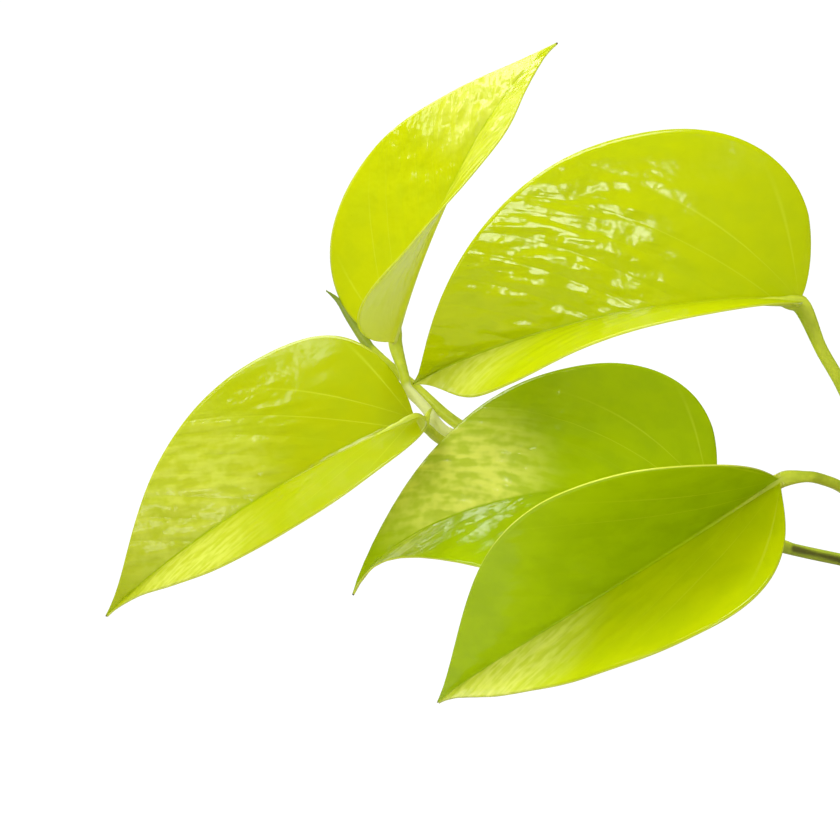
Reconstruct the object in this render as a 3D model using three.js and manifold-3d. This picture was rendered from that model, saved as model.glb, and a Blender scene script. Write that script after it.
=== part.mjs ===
// A potted neon pothos: a clay pot of soil, one long leafy shoot reaching out to the left of the pot,
// a crown of young leaves over the soil, and vines that arch over the rim and hang on the other sides.
// Millimetres, +Z up. The origin is the middle of the pot's underside, which stands on the surface.

import * as THREE from "three";
import { mergeVertices } from "three/addons/utils/BufferGeometryUtils.js";
import Module from "manifold-3d";

const wasm = await Module();
wasm.setup();

// Driving dimensions: the pot
const POT_HEIGHT = 110;
const RIM_RADIUS = 68;
const BASE_RADIUS = 46;
const WALL = 6;
const FLOOR = 8;
const RIM_BAND = 24;
const RIM_STEP = 4;
const LIP_ROUND = 2;
const DRAIN_HOLES = 4;
const DRAIN_RADIUS = 4.5;
const DRAIN_RING = 24;
const POT_SEGMENTS = 40;

// Driving dimensions: the soil
const SOIL_DEPTH_BELOW_RIM = 14;
const SOIL_MOUND = 3;
const SOIL_LEVEL = POT_HEIGHT - SOIL_DEPTH_BELOW_RIM;
const ROOTED_DEPTH = 24;
const CLEARANCE = 0.3;

// Driving dimensions: stems and blades
const STEM_RADIUS = 1.8;
const TIP_STEM_RADIUS = 1.4;
const PETIOLE_RADIUS = 1.3;
const NODE_RADIUS = 2.5;
const BLADE_THICKNESS = 0.8;
const RIB_STEPS = 24;
const HOOK_POWER = 4;
const RIB_EASE = 1.25;
const THICKEST_FOLD = 1.5;

// Colours
const LEAF_COLOR = 0xc4d616;
const STEM_COLOR = 0xa3b81e;
const CLAY_COLOR = 0xb5673f;
const SOIL_COLOR = 0x3a2a1e;

const rad = THREE.MathUtils.degToRad;
const lerp = THREE.MathUtils.lerp;
const vec = (x, y, z) => new THREE.Vector3(x, y, z);
const point = (list) => new THREE.Vector3(...list);

// The blades of the long shoot, from the pot outwards. A blade starts at base with its midrib along
// heading and pitch and its face rolled about the midrib, in degrees. Droop bends it evenly down,
// hook bends its tip, sickle bends it sideways and twist turns it. Fold is the angle of each half
// to the flat at the base, the middle and the tip, and curl is how much more it turns to its margin.
// Width, lobe and widest are shares of the length.
const SHOOT_BLADES = [
  {
    base: [-98, -43, 202.5], length: 118, heading: 190, pitch: 6, roll: -47,
    droop: 71, hook: 4, sickle: 6, twist: -29, widest: 0.28,
    left: { width: 0.35, lobe: -0.02, fold: [57, 64, 14], curl: -11 },
    right: { width: 0.39, lobe: 0.03, fold: [40, 13, 64], curl: -8 },
  },
  {
    base: [-106, -73.5, 163], length: 117, heading: 178, pitch: -36, roll: -59,
    droop: 16, hook: 29, sickle: -9, twist: 3, widest: 0.24,
    left: { width: 0.36, lobe: -0.02, fold: [43, 53, 40], curl: -8 },
    right: { width: 0.35, lobe: -0.01, fold: [86, 54, 31], curl: 6 },
  },
  {
    base: [-115.5, -12, 140.5], length: 113, heading: 199, pitch: 17, roll: -31,
    droop: 59, hook: 34, sickle: 1, twist: 11, widest: 0.26,
    left: { width: 0.37, lobe: 0.03, fold: [27, 7, 43], curl: -10 },
    right: { width: 0.36, lobe: 0.03, fold: [32, 17, 21], curl: -8 },
  },
  {
    base: [-198, -5.5, 162], length: 110, heading: 188, pitch: -22, roll: -38,
    droop: 34, hook: 2, sickle: -1, twist: -5, widest: 0.26,
    left: { width: 0.36, lobe: 0.04, fold: [42, 36, 44], curl: 4 },
    right: { width: 0.37, lobe: 0.02, fold: [14, 15, 47], curl: -12 },
  },
  {
    base: [-204, 11, 180.5], length: 100, heading: 9, pitch: 74, roll: 27,
    droop: 30, hook: 20, sickle: 4, twist: -1, widest: 0.26,
    left: { width: 0.36, lobe: 0.02, fold: [9, 17, 16], curl: -8 },
    right: { width: 0.36, lobe: 0.01, fold: [70, 33, 10], curl: -5 },
  },
];

// The long shoot's own stem, from over its hole in the soil across the rim and out to the left
const SHOOT_STEM = [
  [6, -7, 100], [-2, -8, 107], [-18, -10, 110.5], [-40, -11, 114.5], [-57, -10.5, 118],
  [-78, -9.5, 122], [-94.5, -8.5, 125.5], [-117, -4, 131], [-145, 1.5, 140.5], [-173, 7, 150.5],
];
const SHOOT_TOP = [
  [-173, 7, 150.5], [-186, 9.5, 157], [-197.5, 15, 166], [-206, 20.5, 172], [-211, 24.5, 176],
];
// The next leaf, still rolled up
const SPEAR = [[-211, 24.5, 176], [-216.5, 28.5, 183.5], [-220, 30, 188.5], [-223.5, 29.5, 191.5]];
const SPEAR_RADII = [1.6, 1.4, 0.8, 0.3];
// The petioles of the shoot's blades, in the same order. Each starts at its node and bows through
// these points to the underside of its blade.
const SHOOT_PETIOLES = [
  [[-40, -11, 114.5], [-51.5, -15, 125], [-63.5, -23.5, 140.5], [-77, -36.5, 163],
    [-86.5, -42, 181], [-92, -44, 190]],
  [[-65.5, -10, 119.5], [-73, -30.5, 137], [-81, -50, 150], [-88.5, -60.5, 157.5],
    [-94, -66.5, 161], [-99, -71.5, 163.2]],
  [[-96.5, -8.5, 126], [-101, -8.5, 133.5], [-107, -10, 138]],
  [[-145, 1.5, 140.5], [-158, 3, 143.5], [-173.5, 3, 147], [-190, 2.5, 153.5], [-194, -1.5, 158]],
  [[-173, 6.5, 150], [-189, 6, 155], [-194.5, 6.5, 162], [-199.5, 8, 167], [-200.5, 9, 171]],
];
// The pale sheath along the last petiole, and the pointed end of the sheath under the fourth blade
const SHEATH = [[-180, 6.3, 152.5], [-189, 6, 155.3], [-194.5, 6.3, 162], [-199, 7.8, 166.6]];
const SHEATH_RADIUS = 1.8;
const LIGULE = [[-194.5, -3, 159.5], [-193.8, -1.5, 162], [-192.5, 1, 163.5]];
const LIGULE_RADII = [1.2, 0.9, 0.3];

// The other vines: where each heads from the middle of the pot, how high it arches over the soil,
// how far out it ends, how high that end hangs and how far its first petiole lifts its blade.
// Each bears its blades by one rule, from these values for its petioles in turn.
const VINES = [
  { heading: -98, rise: 47, reach: 112, end: 90, first: 65 },
  { heading: -62, rise: 49, reach: 118, end: 88, first: 56 },
  { heading: -26, rise: 47, reach: 114, end: 91, first: 65 },
  { heading: 10, rise: 49, reach: 120, end: 87, first: 56 },
  { heading: 46, rise: 47, reach: 115, end: 90, first: 65 },
  { heading: 82, rise: 49, reach: 112, end: 88, first: 56 },
];
const FOOT_RING = 28;
const FIRST_NODE = 0.32;
const PETIOLE_OUT = 8;
const PETIOLE_SIDE = [2, -22, 21, -19, 8];
const LATER_LIFTS = [34, 14, 10, 6];
const BLADE_TURN = [2, -24, 24, -24, 6];
const VINE_BLADE = 92;
const BLADE_SHRINK = 0.94;
const JITTER_SEED = 41;

// The crown: young leaves on upright petioles, round a short stem near the middle of the pot
const CROWN_FOOT = [10, 6];
const CROWN_HEADINGS = [-142, -96, -48, 2, 50, 94, 140];
const CROWN_STEM = 34;
const CROWN_LIFT = [113, 136];
const CROWN_OUT = [28, 18];
const CROWN_BLADE = 80;

// A repeatable draw between -1 and 1
function makeDraw(seed) {
  let state = seed;
  return () => {
    state = (state * 1664525 + 1013904223) % 4294967296;
    return (2 * state) / 4294967296 - 1;
  };
}

// A closed solid of a geometry, for joining and cutting
function solidOf(geometry) {
  const bare = geometry.clone();
  bare.deleteAttribute("normal");
  bare.deleteAttribute("uv");
  const merged = mergeVertices(bare, 1e-4);
  return new wasm.Manifold(
    new wasm.Mesh({
      numProp: 3,
      vertProperties: merged.attributes.position.array,
      triVerts: new Uint32Array(merged.index.array),
    }),
  );
}

function geometryOf(solid) {
  const mesh = solid.getMesh();
  const geometry = new THREE.BufferGeometry();
  geometry.setAttribute("position", new THREE.BufferAttribute(mesh.vertProperties, 3));
  geometry.setIndex(new THREE.BufferAttribute(mesh.triVerts, 1));
  return geometry;
}

function join(solids) {
  return solids.reduce((whole, next) => whole.add(next));
}

function meshOf(name, geometry, material) {
  const mesh = new THREE.Mesh(geometry, material);
  mesh.name = name;
  return mesh;
}

// A round tube along a curve, with closed ends
function tube(curve, radius, steps, sides) {
  const section = new THREE.Shape();
  for (let i = 0; i < sides; i += 1) {
    const angle = (2 * Math.PI * i) / sides;
    const x = radius * Math.cos(angle);
    const y = radius * Math.sin(angle);
    if (i === 0) section.moveTo(x, y);
    else section.lineTo(x, y);
  }
  section.closePath();
  const options = { extrudePath: curve, steps, curveSegments: 1, bevelEnabled: false };
  return solidOf(new THREE.ExtrudeGeometry(section, options));
}

function ball(centre, radius, sides) {
  const geometry = new THREE.SphereGeometry(radius, sides, Math.max(4, sides - 2));
  geometry.translate(centre.x, centre.y, centre.z);
  return solidOf(geometry);
}

// A row of balls joined by cone frustums, thinning along its points
function taper(points, radii, sides) {
  const pieces = [];
  for (let i = 0; i + 1 < points.length; i += 1) {
    const from = point(points[i]);
    const to = point(points[i + 1]);
    const span = to.clone().sub(from);
    const cone = new THREE.CylinderGeometry(radii[i + 1], radii[i], span.length(), sides);
    const turn = new THREE.Quaternion().setFromUnitVectors(vec(0, 1, 0), span.normalize());
    cone.applyQuaternion(turn);
    cone.translate(...from.clone().add(to).multiplyScalar(0.5).toArray());
    pieces.push(solidOf(cone), ball(to, radii[i + 1], sides));
  }
  return join(pieces);
}

// The midrib of a blade: at each step its place, its direction, the way its face looks and its left
function ribOf(blade) {
  const heading = rad(blade.heading);
  const pitch = rad(blade.pitch);
  const flat = vec(Math.cos(heading), Math.sin(heading), 0);
  let along = flat.clone().multiplyScalar(Math.cos(pitch)).add(vec(0, 0, Math.sin(pitch)));
  let face = flat.clone().multiplyScalar(-Math.sin(pitch)).add(vec(0, 0, Math.cos(pitch)));
  face.applyAxisAngle(along, rad(blade.roll));
  let left = face.clone().cross(along);
  let place = point(blade.base);
  const rib = [{ place, along, face, left }];
  const step = 1 / RIB_STEPS;
  for (let i = 0; i < RIB_STEPS; i += 1) {
    const s = (i + 0.5) * step;
    const bend = rad(blade.droop + blade.hook * (HOOK_POWER + 1) * s ** HOOK_POWER) * step;
    const side = rad(blade.sickle) * step;
    const twist = rad(blade.twist) * step;
    const next = along.clone().addScaledVector(face, -bend).addScaledVector(left, side).normalize();
    const turned = face.clone().addScaledVector(along, bend).addScaledVector(left, -twist);
    turned.addScaledVector(next, -turned.dot(next)).normalize();
    const half = along.clone().add(next).multiplyScalar(0.5);
    place = place.clone().addScaledVector(half, step * blade.length);
    along = next;
    face = turned;
    left = face.clone().cross(along);
    rib.push({ place, along, face, left });
  }
  return rib;
}

// The rib's frame at a share x of the length; behind the base it runs straight back
function ribAt(rib, x, length) {
  const at = THREE.MathUtils.clamp(x, 0, 1) * RIB_STEPS;
  const i = Math.min(Math.floor(at), RIB_STEPS - 1);
  const mix = (key) => rib[i][key].clone().lerp(rib[i + 1][key], at - i);
  const frame = { place: mix("place"), along: mix("along"), face: mix("face"), left: mix("left") };
  frame.place.addScaledVector(frame.along, Math.min(x, 0) * length);
  return frame;
}

// A value that runs through its base, middle and tip values
function through(values, x) {
  const s = THREE.MathUtils.clamp(x, 0, 1);
  const [base, middle, tip] = values;
  return base * (1 - s) * (1 - 2 * s) + 4 * middle * s * (1 - s) + tip * s * (2 * s - 1);
}

// One half's margin, as points along and out, in shares of the length: a lobe and then a long tip
function marginOf(half, widest, lobeRows, tipRows) {
  const lobe = new THREE.CubicBezierCurve(
    new THREE.Vector2(0, 0),
    new THREE.Vector2(-1.1 * half.lobe, 0.08),
    new THREE.Vector2(-1.5 * half.lobe, 1),
    new THREE.Vector2(widest, 1),
  );
  const tip = new THREE.CubicBezierCurve(
    new THREE.Vector2(widest, 1),
    new THREE.Vector2(widest + 0.36, 1),
    new THREE.Vector2(0.76, 0.14),
    new THREE.Vector2(1, 0),
  );
  const points = [];
  for (let i = 0; i <= lobeRows; i += 1) points.push(lobe.getPoint(i / lobeRows));
  for (let i = 1; i <= tipRows; i += 1) points.push(tip.getPoint(i / tipRows));
  return points.map((p) => ({ x: p.x, y: p.y * half.width }));
}

// How much thicker the sheet is along the midrib, where its halves meet at a fold
function mitreOf(fold) {
  return Math.min(1 / Math.cos(fold), THICKEST_FOLD);
}

// Upper and lower points of a blade at x along and y out on one half (sign 1 left, -1 right)
function bladePoint(blade, rib, half, sign, x, y) {
  const frame = ribAt(rib, x, blade.length);
  const fold = rad(through(half.fold, x));
  const curl = rad(half.curl) / half.width;
  const out = (Math.sin(fold + curl * y) - Math.sin(fold)) / curl;
  const up = (Math.cos(fold) - Math.cos(fold + curl * y)) / curl;
  const top = frame.place.clone();
  top.addScaledVector(frame.left, sign * out * blade.length);
  top.addScaledVector(frame.face, up * blade.length);
  const lean = y > 0 ? fold + curl * y : 0;
  const mitre = y > 0 ? 1 : mitreOf(fold);
  const normal = frame.face.clone().multiplyScalar(Math.cos(lean));
  normal.addScaledVector(frame.left, -sign * Math.sin(lean));
  const bottom = top.clone().addScaledVector(normal, -BLADE_THICKNESS * mitre);
  return { top, bottom };
}

// A blade as one closed sheet, split into triangles alike on both faces
function bladeGeometry(blade, lobeRows, tipRows, columns) {
  const rib = ribOf(blade);
  const last = lobeRows + tipRows;
  const margins = {
    1: marginOf(blade.left, blade.widest, lobeRows, tipRows),
    "-1": marginOf(blade.right, blade.widest, lobeRows, tipRows),
  };
  const positions = [];
  const ids = new Map();
  const id = (row, column, side) => {
    const ended = row === 0 || row === last;
    const key = `${row} ${ended ? 0 : column} ${side}`;
    if (!ids.has(key)) {
      const sign = column > 0 && !ended ? -1 : 1;
      const half = sign > 0 ? blade.left : blade.right;
      const share = ended ? 0 : Math.abs(column) / columns;
      const start = (row / last) ** RIB_EASE;
      const edge = margins[sign][row];
      const points = bladePoint(blade, rib, half, sign, lerp(start, edge.x, share), edge.y * share);
      ids.set(key, positions.length / 3);
      positions.push(...points[side].toArray());
    }
    return ids.get(key);
  };
  const faces = [];
  const triangle = (a, b, c) => {
    if (a !== b && b !== c && c !== a) faces.push(a, b, c);
  };
  for (let row = 0; row < last; row += 1) {
    for (let column = -columns; column < columns; column += 1) {
      const corner = (side) => [
        id(row, column, side),
        id(row, column + 1, side),
        id(row + 1, column + 1, side),
        id(row + 1, column, side),
      ];
      const split = column < 0 ? [[0, 1, 2], [0, 2, 3]] : [[0, 1, 3], [1, 2, 3]];
      const upper = corner("top");
      const lower = corner("bottom");
      for (const [a, b, c] of split) {
        triangle(upper[a], upper[b], upper[c]);
        triangle(lower[a], lower[c], lower[b]);
      }
    }
    for (const [edge, flip] of [[-columns, false], [columns, true]]) {
      const top = [id(row, edge, "top"), id(row + 1, edge, "top")];
      const bottom = [id(row, edge, "bottom"), id(row + 1, edge, "bottom")];
      if (flip) {
        triangle(top[0], bottom[0], top[1]);
        triangle(top[1], bottom[0], bottom[1]);
      } else {
        triangle(top[0], top[1], bottom[0]);
        triangle(top[1], bottom[1], bottom[0]);
      }
    }
  }
  const geometry = new THREE.BufferGeometry();
  geometry.setAttribute("position", new THREE.Float32BufferAttribute(positions, 3));
  geometry.setIndex(faces);
  geometry.computeVertexNormals();
  return geometry;
}

const leafMaterial = new THREE.MeshStandardMaterial({
  color: LEAF_COLOR,
  roughness: 0.35,
  metalness: 0,
  side: THREE.DoubleSide,
});
const stemMaterial = new THREE.MeshStandardMaterial({ color: STEM_COLOR, roughness: 0.45 });
const clayMaterial = new THREE.MeshStandardMaterial({ color: CLAY_COLOR, roughness: 0.9 });
const soilMaterial = new THREE.MeshStandardMaterial({ color: SOIL_COLOR, roughness: 1 });

function smooth(points) {
  return new THREE.CatmullRomCurve3(points.map(point));
}

// Where a petiole that comes from a place ends, so that its end just clears the blade's base
function petioleEnd(blade, from) {
  const [frame] = ribOf(blade);
  const arrival = frame.place.clone().sub(from).normalize();
  const tilt = Math.sqrt(1 - arrival.dot(frame.face) ** 2);
  const under = BLADE_THICKNESS * mitreOf(rad(blade.left.fold[0])) + CLEARANCE;
  return frame.place.clone().addScaledVector(frame.face, -under - PETIOLE_RADIUS * tilt);
}

// The upright foot of a stem, from the bottom of its hole to a place over it
function footOf(place, sides) {
  const low = vec(place.x, place.y, SOIL_LEVEL - ROOTED_DEPTH + CLEARANCE);
  return tube(new THREE.LineCurve3(low, place), STEM_RADIUS, 1, sides);
}

// The long shoot: its stem, its petioles, the last sheath and the rolled leaf in one piece
function growLongShoot() {
  const foot = point(SHOOT_STEM[0]);
  const pieces = [
    footOf(foot, 8),
    ball(foot, STEM_RADIUS, 6),
    tube(smooth(SHOOT_STEM), STEM_RADIUS, 26, 8),
    tube(smooth(SHOOT_TOP), TIP_STEM_RADIUS, 6, 6),
    taper(SPEAR, SPEAR_RADII, 5),
    tube(smooth(SHEATH), SHEATH_RADIUS, 5, 6),
    taper(LIGULE, LIGULE_RADII, 5),
  ];
  SHOOT_PETIOLES.forEach((route, i) => {
    const end = petioleEnd(SHOOT_BLADES[i], point(route.at(-1)));
    const curve = smooth([...route, end.toArray()]);
    pieces.push(tube(curve, PETIOLE_RADIUS, 8, 6), ball(point(route[0]), NODE_RADIUS, 6));
  });
  return { name: "long_shoot", stem: join(pieces), blades: SHOOT_BLADES, foot };
}

// A petiole that rises from its node and bows over to its blade
function bowedPetiole(node, blade, bow) {
  const middle = node.clone().lerp(point(blade.base), 0.45).add(vec(0, 0, bow));
  const end = petioleEnd(blade, middle);
  return tube(new THREE.QuadraticBezierCurve3(node, middle, end), PETIOLE_RADIUS, 5, 5);
}

// The half of a vine's blade, folded up a little along the midrib
function vineHalf(draw) {
  return { width: 0.36, lobe: 0.05, fold: [34, 22 + 6 * draw(), 26], curl: -10 };
}

// One vine: a stem with its petioles in one piece, and its blades left and right in turn
function growVine(vine, number, draw) {
  const heading = rad(vine.heading);
  const out = vec(Math.cos(heading), Math.sin(heading), 0);
  const side = vec(-out.y, out.x, 0);
  const at = (radius, z) => out.clone().multiplyScalar(radius).setZ(z);
  const foot = at(FOOT_RING, SOIL_LEVEL + SOIL_MOUND + 1);
  const crest = SOIL_LEVEL + vine.rise * 1.4;
  const curve = new THREE.CubicBezierCurve3(
    foot,
    at(FOOT_RING + 3, crest),
    at(vine.reach - 8, crest),
    at(vine.reach, vine.end),
  );
  const pieces = [footOf(foot, 6), tube(curve, STEM_RADIUS, 12, 6)];
  const lifts = [vine.first, ...LATER_LIFTS];
  const blades = [];
  for (let i = 0; i < BLADE_TURN.length; i += 1) {
    const share = i / (BLADE_TURN.length - 1);
    const node = curve.getPoint(lerp(FIRST_NODE, 1, share));
    const base = node.clone();
    base.addScaledVector(out, PETIOLE_OUT + 3 * draw());
    base.addScaledVector(side, PETIOLE_SIDE[i] + 3 * draw());
    base.z += lifts[i] + 3 * draw();
    const blade = {
      base: base.toArray(),
      length: VINE_BLADE * BLADE_SHRINK ** i * (1 + 0.04 * draw()),
      heading: vine.heading + BLADE_TURN[i] + 6 * draw(),
      pitch: lerp(14, -40, share) + 6 * draw(),
      roll: -BLADE_TURN[i] / 2 + 8 * draw(),
      droop: lerp(52, 30, share) + 8 * draw(),
      hook: 14 + 6 * draw(),
      sickle: 6 * draw(),
      twist: 8 * draw(),
      widest: 0.27,
      left: vineHalf(draw),
      right: vineHalf(draw),
    };
    blades.push(blade);
    pieces.push(bowedPetiole(node, blade, lerp(10, 4, share)));
  }
  return { name: `vine_${number}`, stem: join(pieces), blades, foot };
}

// The crown: a short stem whose blades nod outwards from tall petioles, high and low in turn
function growCrown(draw) {
  const foot = vec(...CROWN_FOOT, SOIL_LEVEL + SOIL_MOUND + 1);
  const top = foot.clone().add(vec(0, 0, CROWN_STEM));
  const pieces = [footOf(foot, 6), tube(new THREE.LineCurve3(foot, top), STEM_RADIUS, 1, 6)];
  const blades = CROWN_HEADINGS.map((degrees, i) => {
    const heading = rad(degrees);
    const out = vec(Math.cos(heading), Math.sin(heading), 0);
    const node = foot.clone().lerp(top, lerp(0.3, 1, i / (CROWN_HEADINGS.length - 1)));
    const base = foot.clone().addScaledVector(out, CROWN_OUT[i % 2] + 3 * draw());
    base.z += CROWN_LIFT[i % 2] + 4 * draw();
    const blade = {
      base: base.toArray(),
      length: CROWN_BLADE * (1 + 0.06 * draw()),
      heading: degrees + 6 * draw(),
      pitch: 36 + 6 * draw(),
      roll: 8 * draw(),
      droop: 60 + 8 * draw(),
      hook: 14 + 6 * draw(),
      sickle: 6 * draw(),
      twist: 8 * draw(),
      widest: 0.27,
      left: vineHalf(draw),
      right: vineHalf(draw),
    };
    pieces.push(bowedPetiole(node, blade, 4));
    return blade;
  });
  return { name: "crown", stem: join(pieces), blades, foot };
}

const draw = makeDraw(JITTER_SEED);
const plants = [
  growLongShoot(),
  growCrown(draw),
  ...VINES.map((vine, i) => growVine(vine, i + 1, draw)),
];

// The pot: a tapering clay wall with a thick rim band, a floor and drain holes clear of its middle
function potSolid() {
  const bandBottom = POT_HEIGHT - RIM_BAND;
  const bodyTop = RIM_RADIUS - RIM_STEP;
  const outline = new THREE.Path();
  outline.moveTo(0, 0);
  outline.lineTo(BASE_RADIUS - LIP_ROUND, 0);
  outline.quadraticCurveTo(BASE_RADIUS, 0, BASE_RADIUS + 0.4, LIP_ROUND);
  outline.lineTo(bodyTop - 1, bandBottom);
  outline.lineTo(RIM_RADIUS - 1.5, bandBottom);
  outline.quadraticCurveTo(RIM_RADIUS - 0.5, bandBottom, RIM_RADIUS - 0.5, bandBottom + LIP_ROUND);
  outline.lineTo(RIM_RADIUS, POT_HEIGHT - LIP_ROUND);
  outline.quadraticCurveTo(RIM_RADIUS, POT_HEIGHT, RIM_RADIUS - LIP_ROUND, POT_HEIGHT);
  outline.lineTo(RIM_RADIUS - WALL, POT_HEIGHT);
  outline.quadraticCurveTo(
    RIM_RADIUS - WALL - LIP_ROUND, POT_HEIGHT, RIM_RADIUS - WALL - LIP_ROUND, POT_HEIGHT - LIP_ROUND,
  );
  outline.lineTo(innerRadius(bandBottom), bandBottom);
  outline.lineTo(innerRadius(FLOOR), FLOOR);
  outline.lineTo(0, FLOOR);
  let pot = solidOf(turned(outline.getPoints(2)));
  for (let i = 0; i < DRAIN_HOLES; i += 1) {
    const angle = (2 * Math.PI * (i + 0.5)) / DRAIN_HOLES;
    const hole = new THREE.CylinderGeometry(DRAIN_RADIUS, DRAIN_RADIUS, 3 * FLOOR, 16);
    hole.rotateX(Math.PI / 2);
    hole.translate(DRAIN_RING * Math.cos(angle), DRAIN_RING * Math.sin(angle), FLOOR / 2);
    pot = pot.subtract(solidOf(hole));
  }
  return pot;
}

// The inner radius of the pot's wall at a height
function innerRadius(z) {
  const top = RIM_RADIUS - WALL - LIP_ROUND;
  return lerp(BASE_RADIUS - WALL, top, z / POT_HEIGHT);
}

// A profile turned round the upright axis
function turned(points) {
  const geometry = new THREE.LatheGeometry(points, POT_SEGMENTS);
  geometry.rotateX(Math.PI / 2);
  return geometry;
}

// The soil: a slightly mounded fill with a plain hole for each stem
function soilSolid(feet) {
  const outline = new THREE.Path();
  const edge = innerRadius(SOIL_LEVEL) - CLEARANCE;
  outline.moveTo(0, FLOOR + CLEARANCE);
  outline.lineTo(innerRadius(FLOOR) - CLEARANCE, FLOOR + CLEARANCE);
  outline.lineTo(edge, SOIL_LEVEL);
  outline.quadraticCurveTo(edge * 0.5, SOIL_LEVEL + SOIL_MOUND, 0, SOIL_LEVEL + SOIL_MOUND);
  let soil = solidOf(turned(outline.getPoints(4)));
  for (const foot of feet) {
    const radius = STEM_RADIUS + CLEARANCE;
    const height = ROOTED_DEPTH + 30;
    const hole = new THREE.CylinderGeometry(radius, radius, height, 12);
    hole.rotateX(Math.PI / 2);
    hole.translate(foot.x, foot.y, SOIL_LEVEL - ROOTED_DEPTH + height / 2);
    soil = soil.subtract(solidOf(hole));
  }
  return soil;
}

const plant = new THREE.Group();
plant.add(meshOf("pot", geometryOf(potSolid()), clayMaterial));
plant.add(meshOf("soil", geometryOf(soilSolid(plants.map((p) => p.foot))), soilMaterial));
for (const { name, stem, blades } of plants) {
  const long = name === "long_shoot";
  plant.add(meshOf(`${name}_stem`, geometryOf(stem), stemMaterial));
  blades.forEach((blade, i) => {
    const geometry = bladeGeometry(blade, long ? 3 : 2, long ? 7 : 6, long ? 3 : 2);
    plant.add(meshOf(`${name}_leaf_${i + 1}`, geometry, leafMaterial));
  });
}

export default plant;
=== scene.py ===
# A potted neon pothos: fine blades, grown stems, clay and soil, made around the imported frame.

import math

import bpy
from bpy.props import FloatProperty, FloatVectorProperty, IntProperty, PointerProperty
from mathutils import Matrix, Quaternion, Vector, noise


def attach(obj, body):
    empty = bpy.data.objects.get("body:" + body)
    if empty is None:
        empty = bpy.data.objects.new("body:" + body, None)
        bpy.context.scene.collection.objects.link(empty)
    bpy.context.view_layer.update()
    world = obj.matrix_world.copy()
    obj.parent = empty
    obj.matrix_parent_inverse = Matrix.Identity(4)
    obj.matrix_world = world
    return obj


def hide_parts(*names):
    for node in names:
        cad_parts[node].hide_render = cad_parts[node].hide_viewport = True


bl_info = {
    "name": "Potted Neon Pothos",
    "version": (1, 0, 0),
    "blender": (4, 5, 0),
    "location": "3D View > Sidebar > Pothos",
    "description": "Makes a potted neon pothos around its packed frame",
    "category": "Add Mesh",
}

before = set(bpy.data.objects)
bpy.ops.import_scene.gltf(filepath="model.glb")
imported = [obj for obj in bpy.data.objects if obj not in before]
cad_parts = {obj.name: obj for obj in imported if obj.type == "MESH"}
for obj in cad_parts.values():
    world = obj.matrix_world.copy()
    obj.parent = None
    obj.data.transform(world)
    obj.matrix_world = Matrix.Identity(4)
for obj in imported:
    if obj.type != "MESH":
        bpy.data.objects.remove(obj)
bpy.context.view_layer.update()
MM = 0.001

# The blades of the long shoot, from the pot outwards, in millimetres and degrees. A blade starts at
# base with its midrib along heading and pitch and its face rolled about the midrib. Droop bends it
# evenly down, hook bends its tip, sickle bends it sideways and twist turns it. Fold is the angle of
# each half to the flat at the base, the middle and the tip, and curl is how much more it turns to
# its margin. Width, lobe and widest are shares of the length. Quilt is how strongly it is quilted. Age
# runs from 0, fresh and yellow, to 1, old and greener, for a blade or for one of its halves, and tone
# darkens the blade with painted shade. In a half, bow is how far it bulges along its length in
# millimetres, plain how little it is quilted, and the painted highlight a paler, blotched patch drawn
# into the colour where the gloss glares: its place along and out and its reach, all in shares of the
# length, and its strength.
SHOOT_BLADES = [
    dict(
        base=(-98, -43, 202.5), length=118, heading=190, pitch=6, roll=-47,
        droop=71, hook=4, sickle=6, twist=-29, widest=0.28, quilt=1.0, age=0.15, tone=0.3,
        left=dict(
            width=0.35, lobe=-0.02, fold=(57, 64, 14), curl=-11, plain=0.8,
            painted_highlight=(0.85, 0.04, 0.32, 0.6),
        ),
        right=dict(width=0.39, lobe=0.03, fold=(40, 13, 64), curl=-8, bow=2.6),
    ),
    dict(
        base=(-106, -73.5, 163), length=117, heading=178, pitch=-36, roll=-59,
        droop=16, hook=29, sickle=-9, twist=3, widest=0.24, quilt=0.4, age=0.75,
        # On this blade the halves' ages are painted light and shade: the lit lower half younger and yellower,
        # the upper half, turned from the light, older and greener
        left=dict(
            width=0.36, lobe=-0.02, fold=(43, 53, 40), curl=-8, plain=0.2, age=0.3,
            painted_highlight=(0.74, 0.06, 0.32, 0.9),
        ),
        right=dict(width=0.35, lobe=-0.01, fold=(86, 54, 31), curl=6, plain=0.4, age=0.9),
    ),
    dict(
        base=(-115.5, -12, 140.5), length=113, heading=199, pitch=17, roll=-31,
        droop=59, hook=34, sickle=1, twist=11, widest=0.26, quilt=0.8, age=0.95, tone=0.4,
        left=dict(
            width=0.37, lobe=0.03, fold=(27, 7, 43), curl=-10, plain=0.5,
            painted_highlight=(0.85, 0.03, 0.2, 0.5),
        ),
        right=dict(
            width=0.36, lobe=0.03, fold=(32, 17, 21), curl=-8,
            painted_highlight=(0.62, 0.1, 0.28, 1.0),
        ),
    ),
    dict(
        base=(-198, -5.5, 162), length=110, heading=188, pitch=-22, roll=-38,
        droop=34, hook=2, sickle=-1, twist=-5, widest=0.26, quilt=0.65, age=0.2, tone=1.35,
        left=dict(
            width=0.36, lobe=0.04, fold=(42, 36, 44), curl=4, plain=0.65,
            painted_highlight=(0.7, 0.2, 0.34, 0.55),
        ),
        right=dict(
            width=0.37, lobe=0.02, fold=(14, 15, 47), curl=-12,
            painted_highlight=(0.62, 0.08, 0.34, 0.38),
        ),
    ),
    dict(
        base=(-204, 11, 180.5), length=100, heading=9, pitch=74, roll=27,
        droop=30, hook=20, sickle=4, twist=-1, widest=0.26, quilt=0.8, age=0.0, tone=0.35,
        left=dict(
            width=0.36, lobe=0.02, fold=(9, 17, 16), curl=-8,
            painted_highlight=(0.76, 0.07, 0.26, 0.5),
        ),
        right=dict(
            width=0.36, lobe=0.01, fold=(70, 33, 10), curl=-5,
            painted_highlight=(0.6, 0.1, 0.3, 0.3),
        ),
    ),
]

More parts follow.
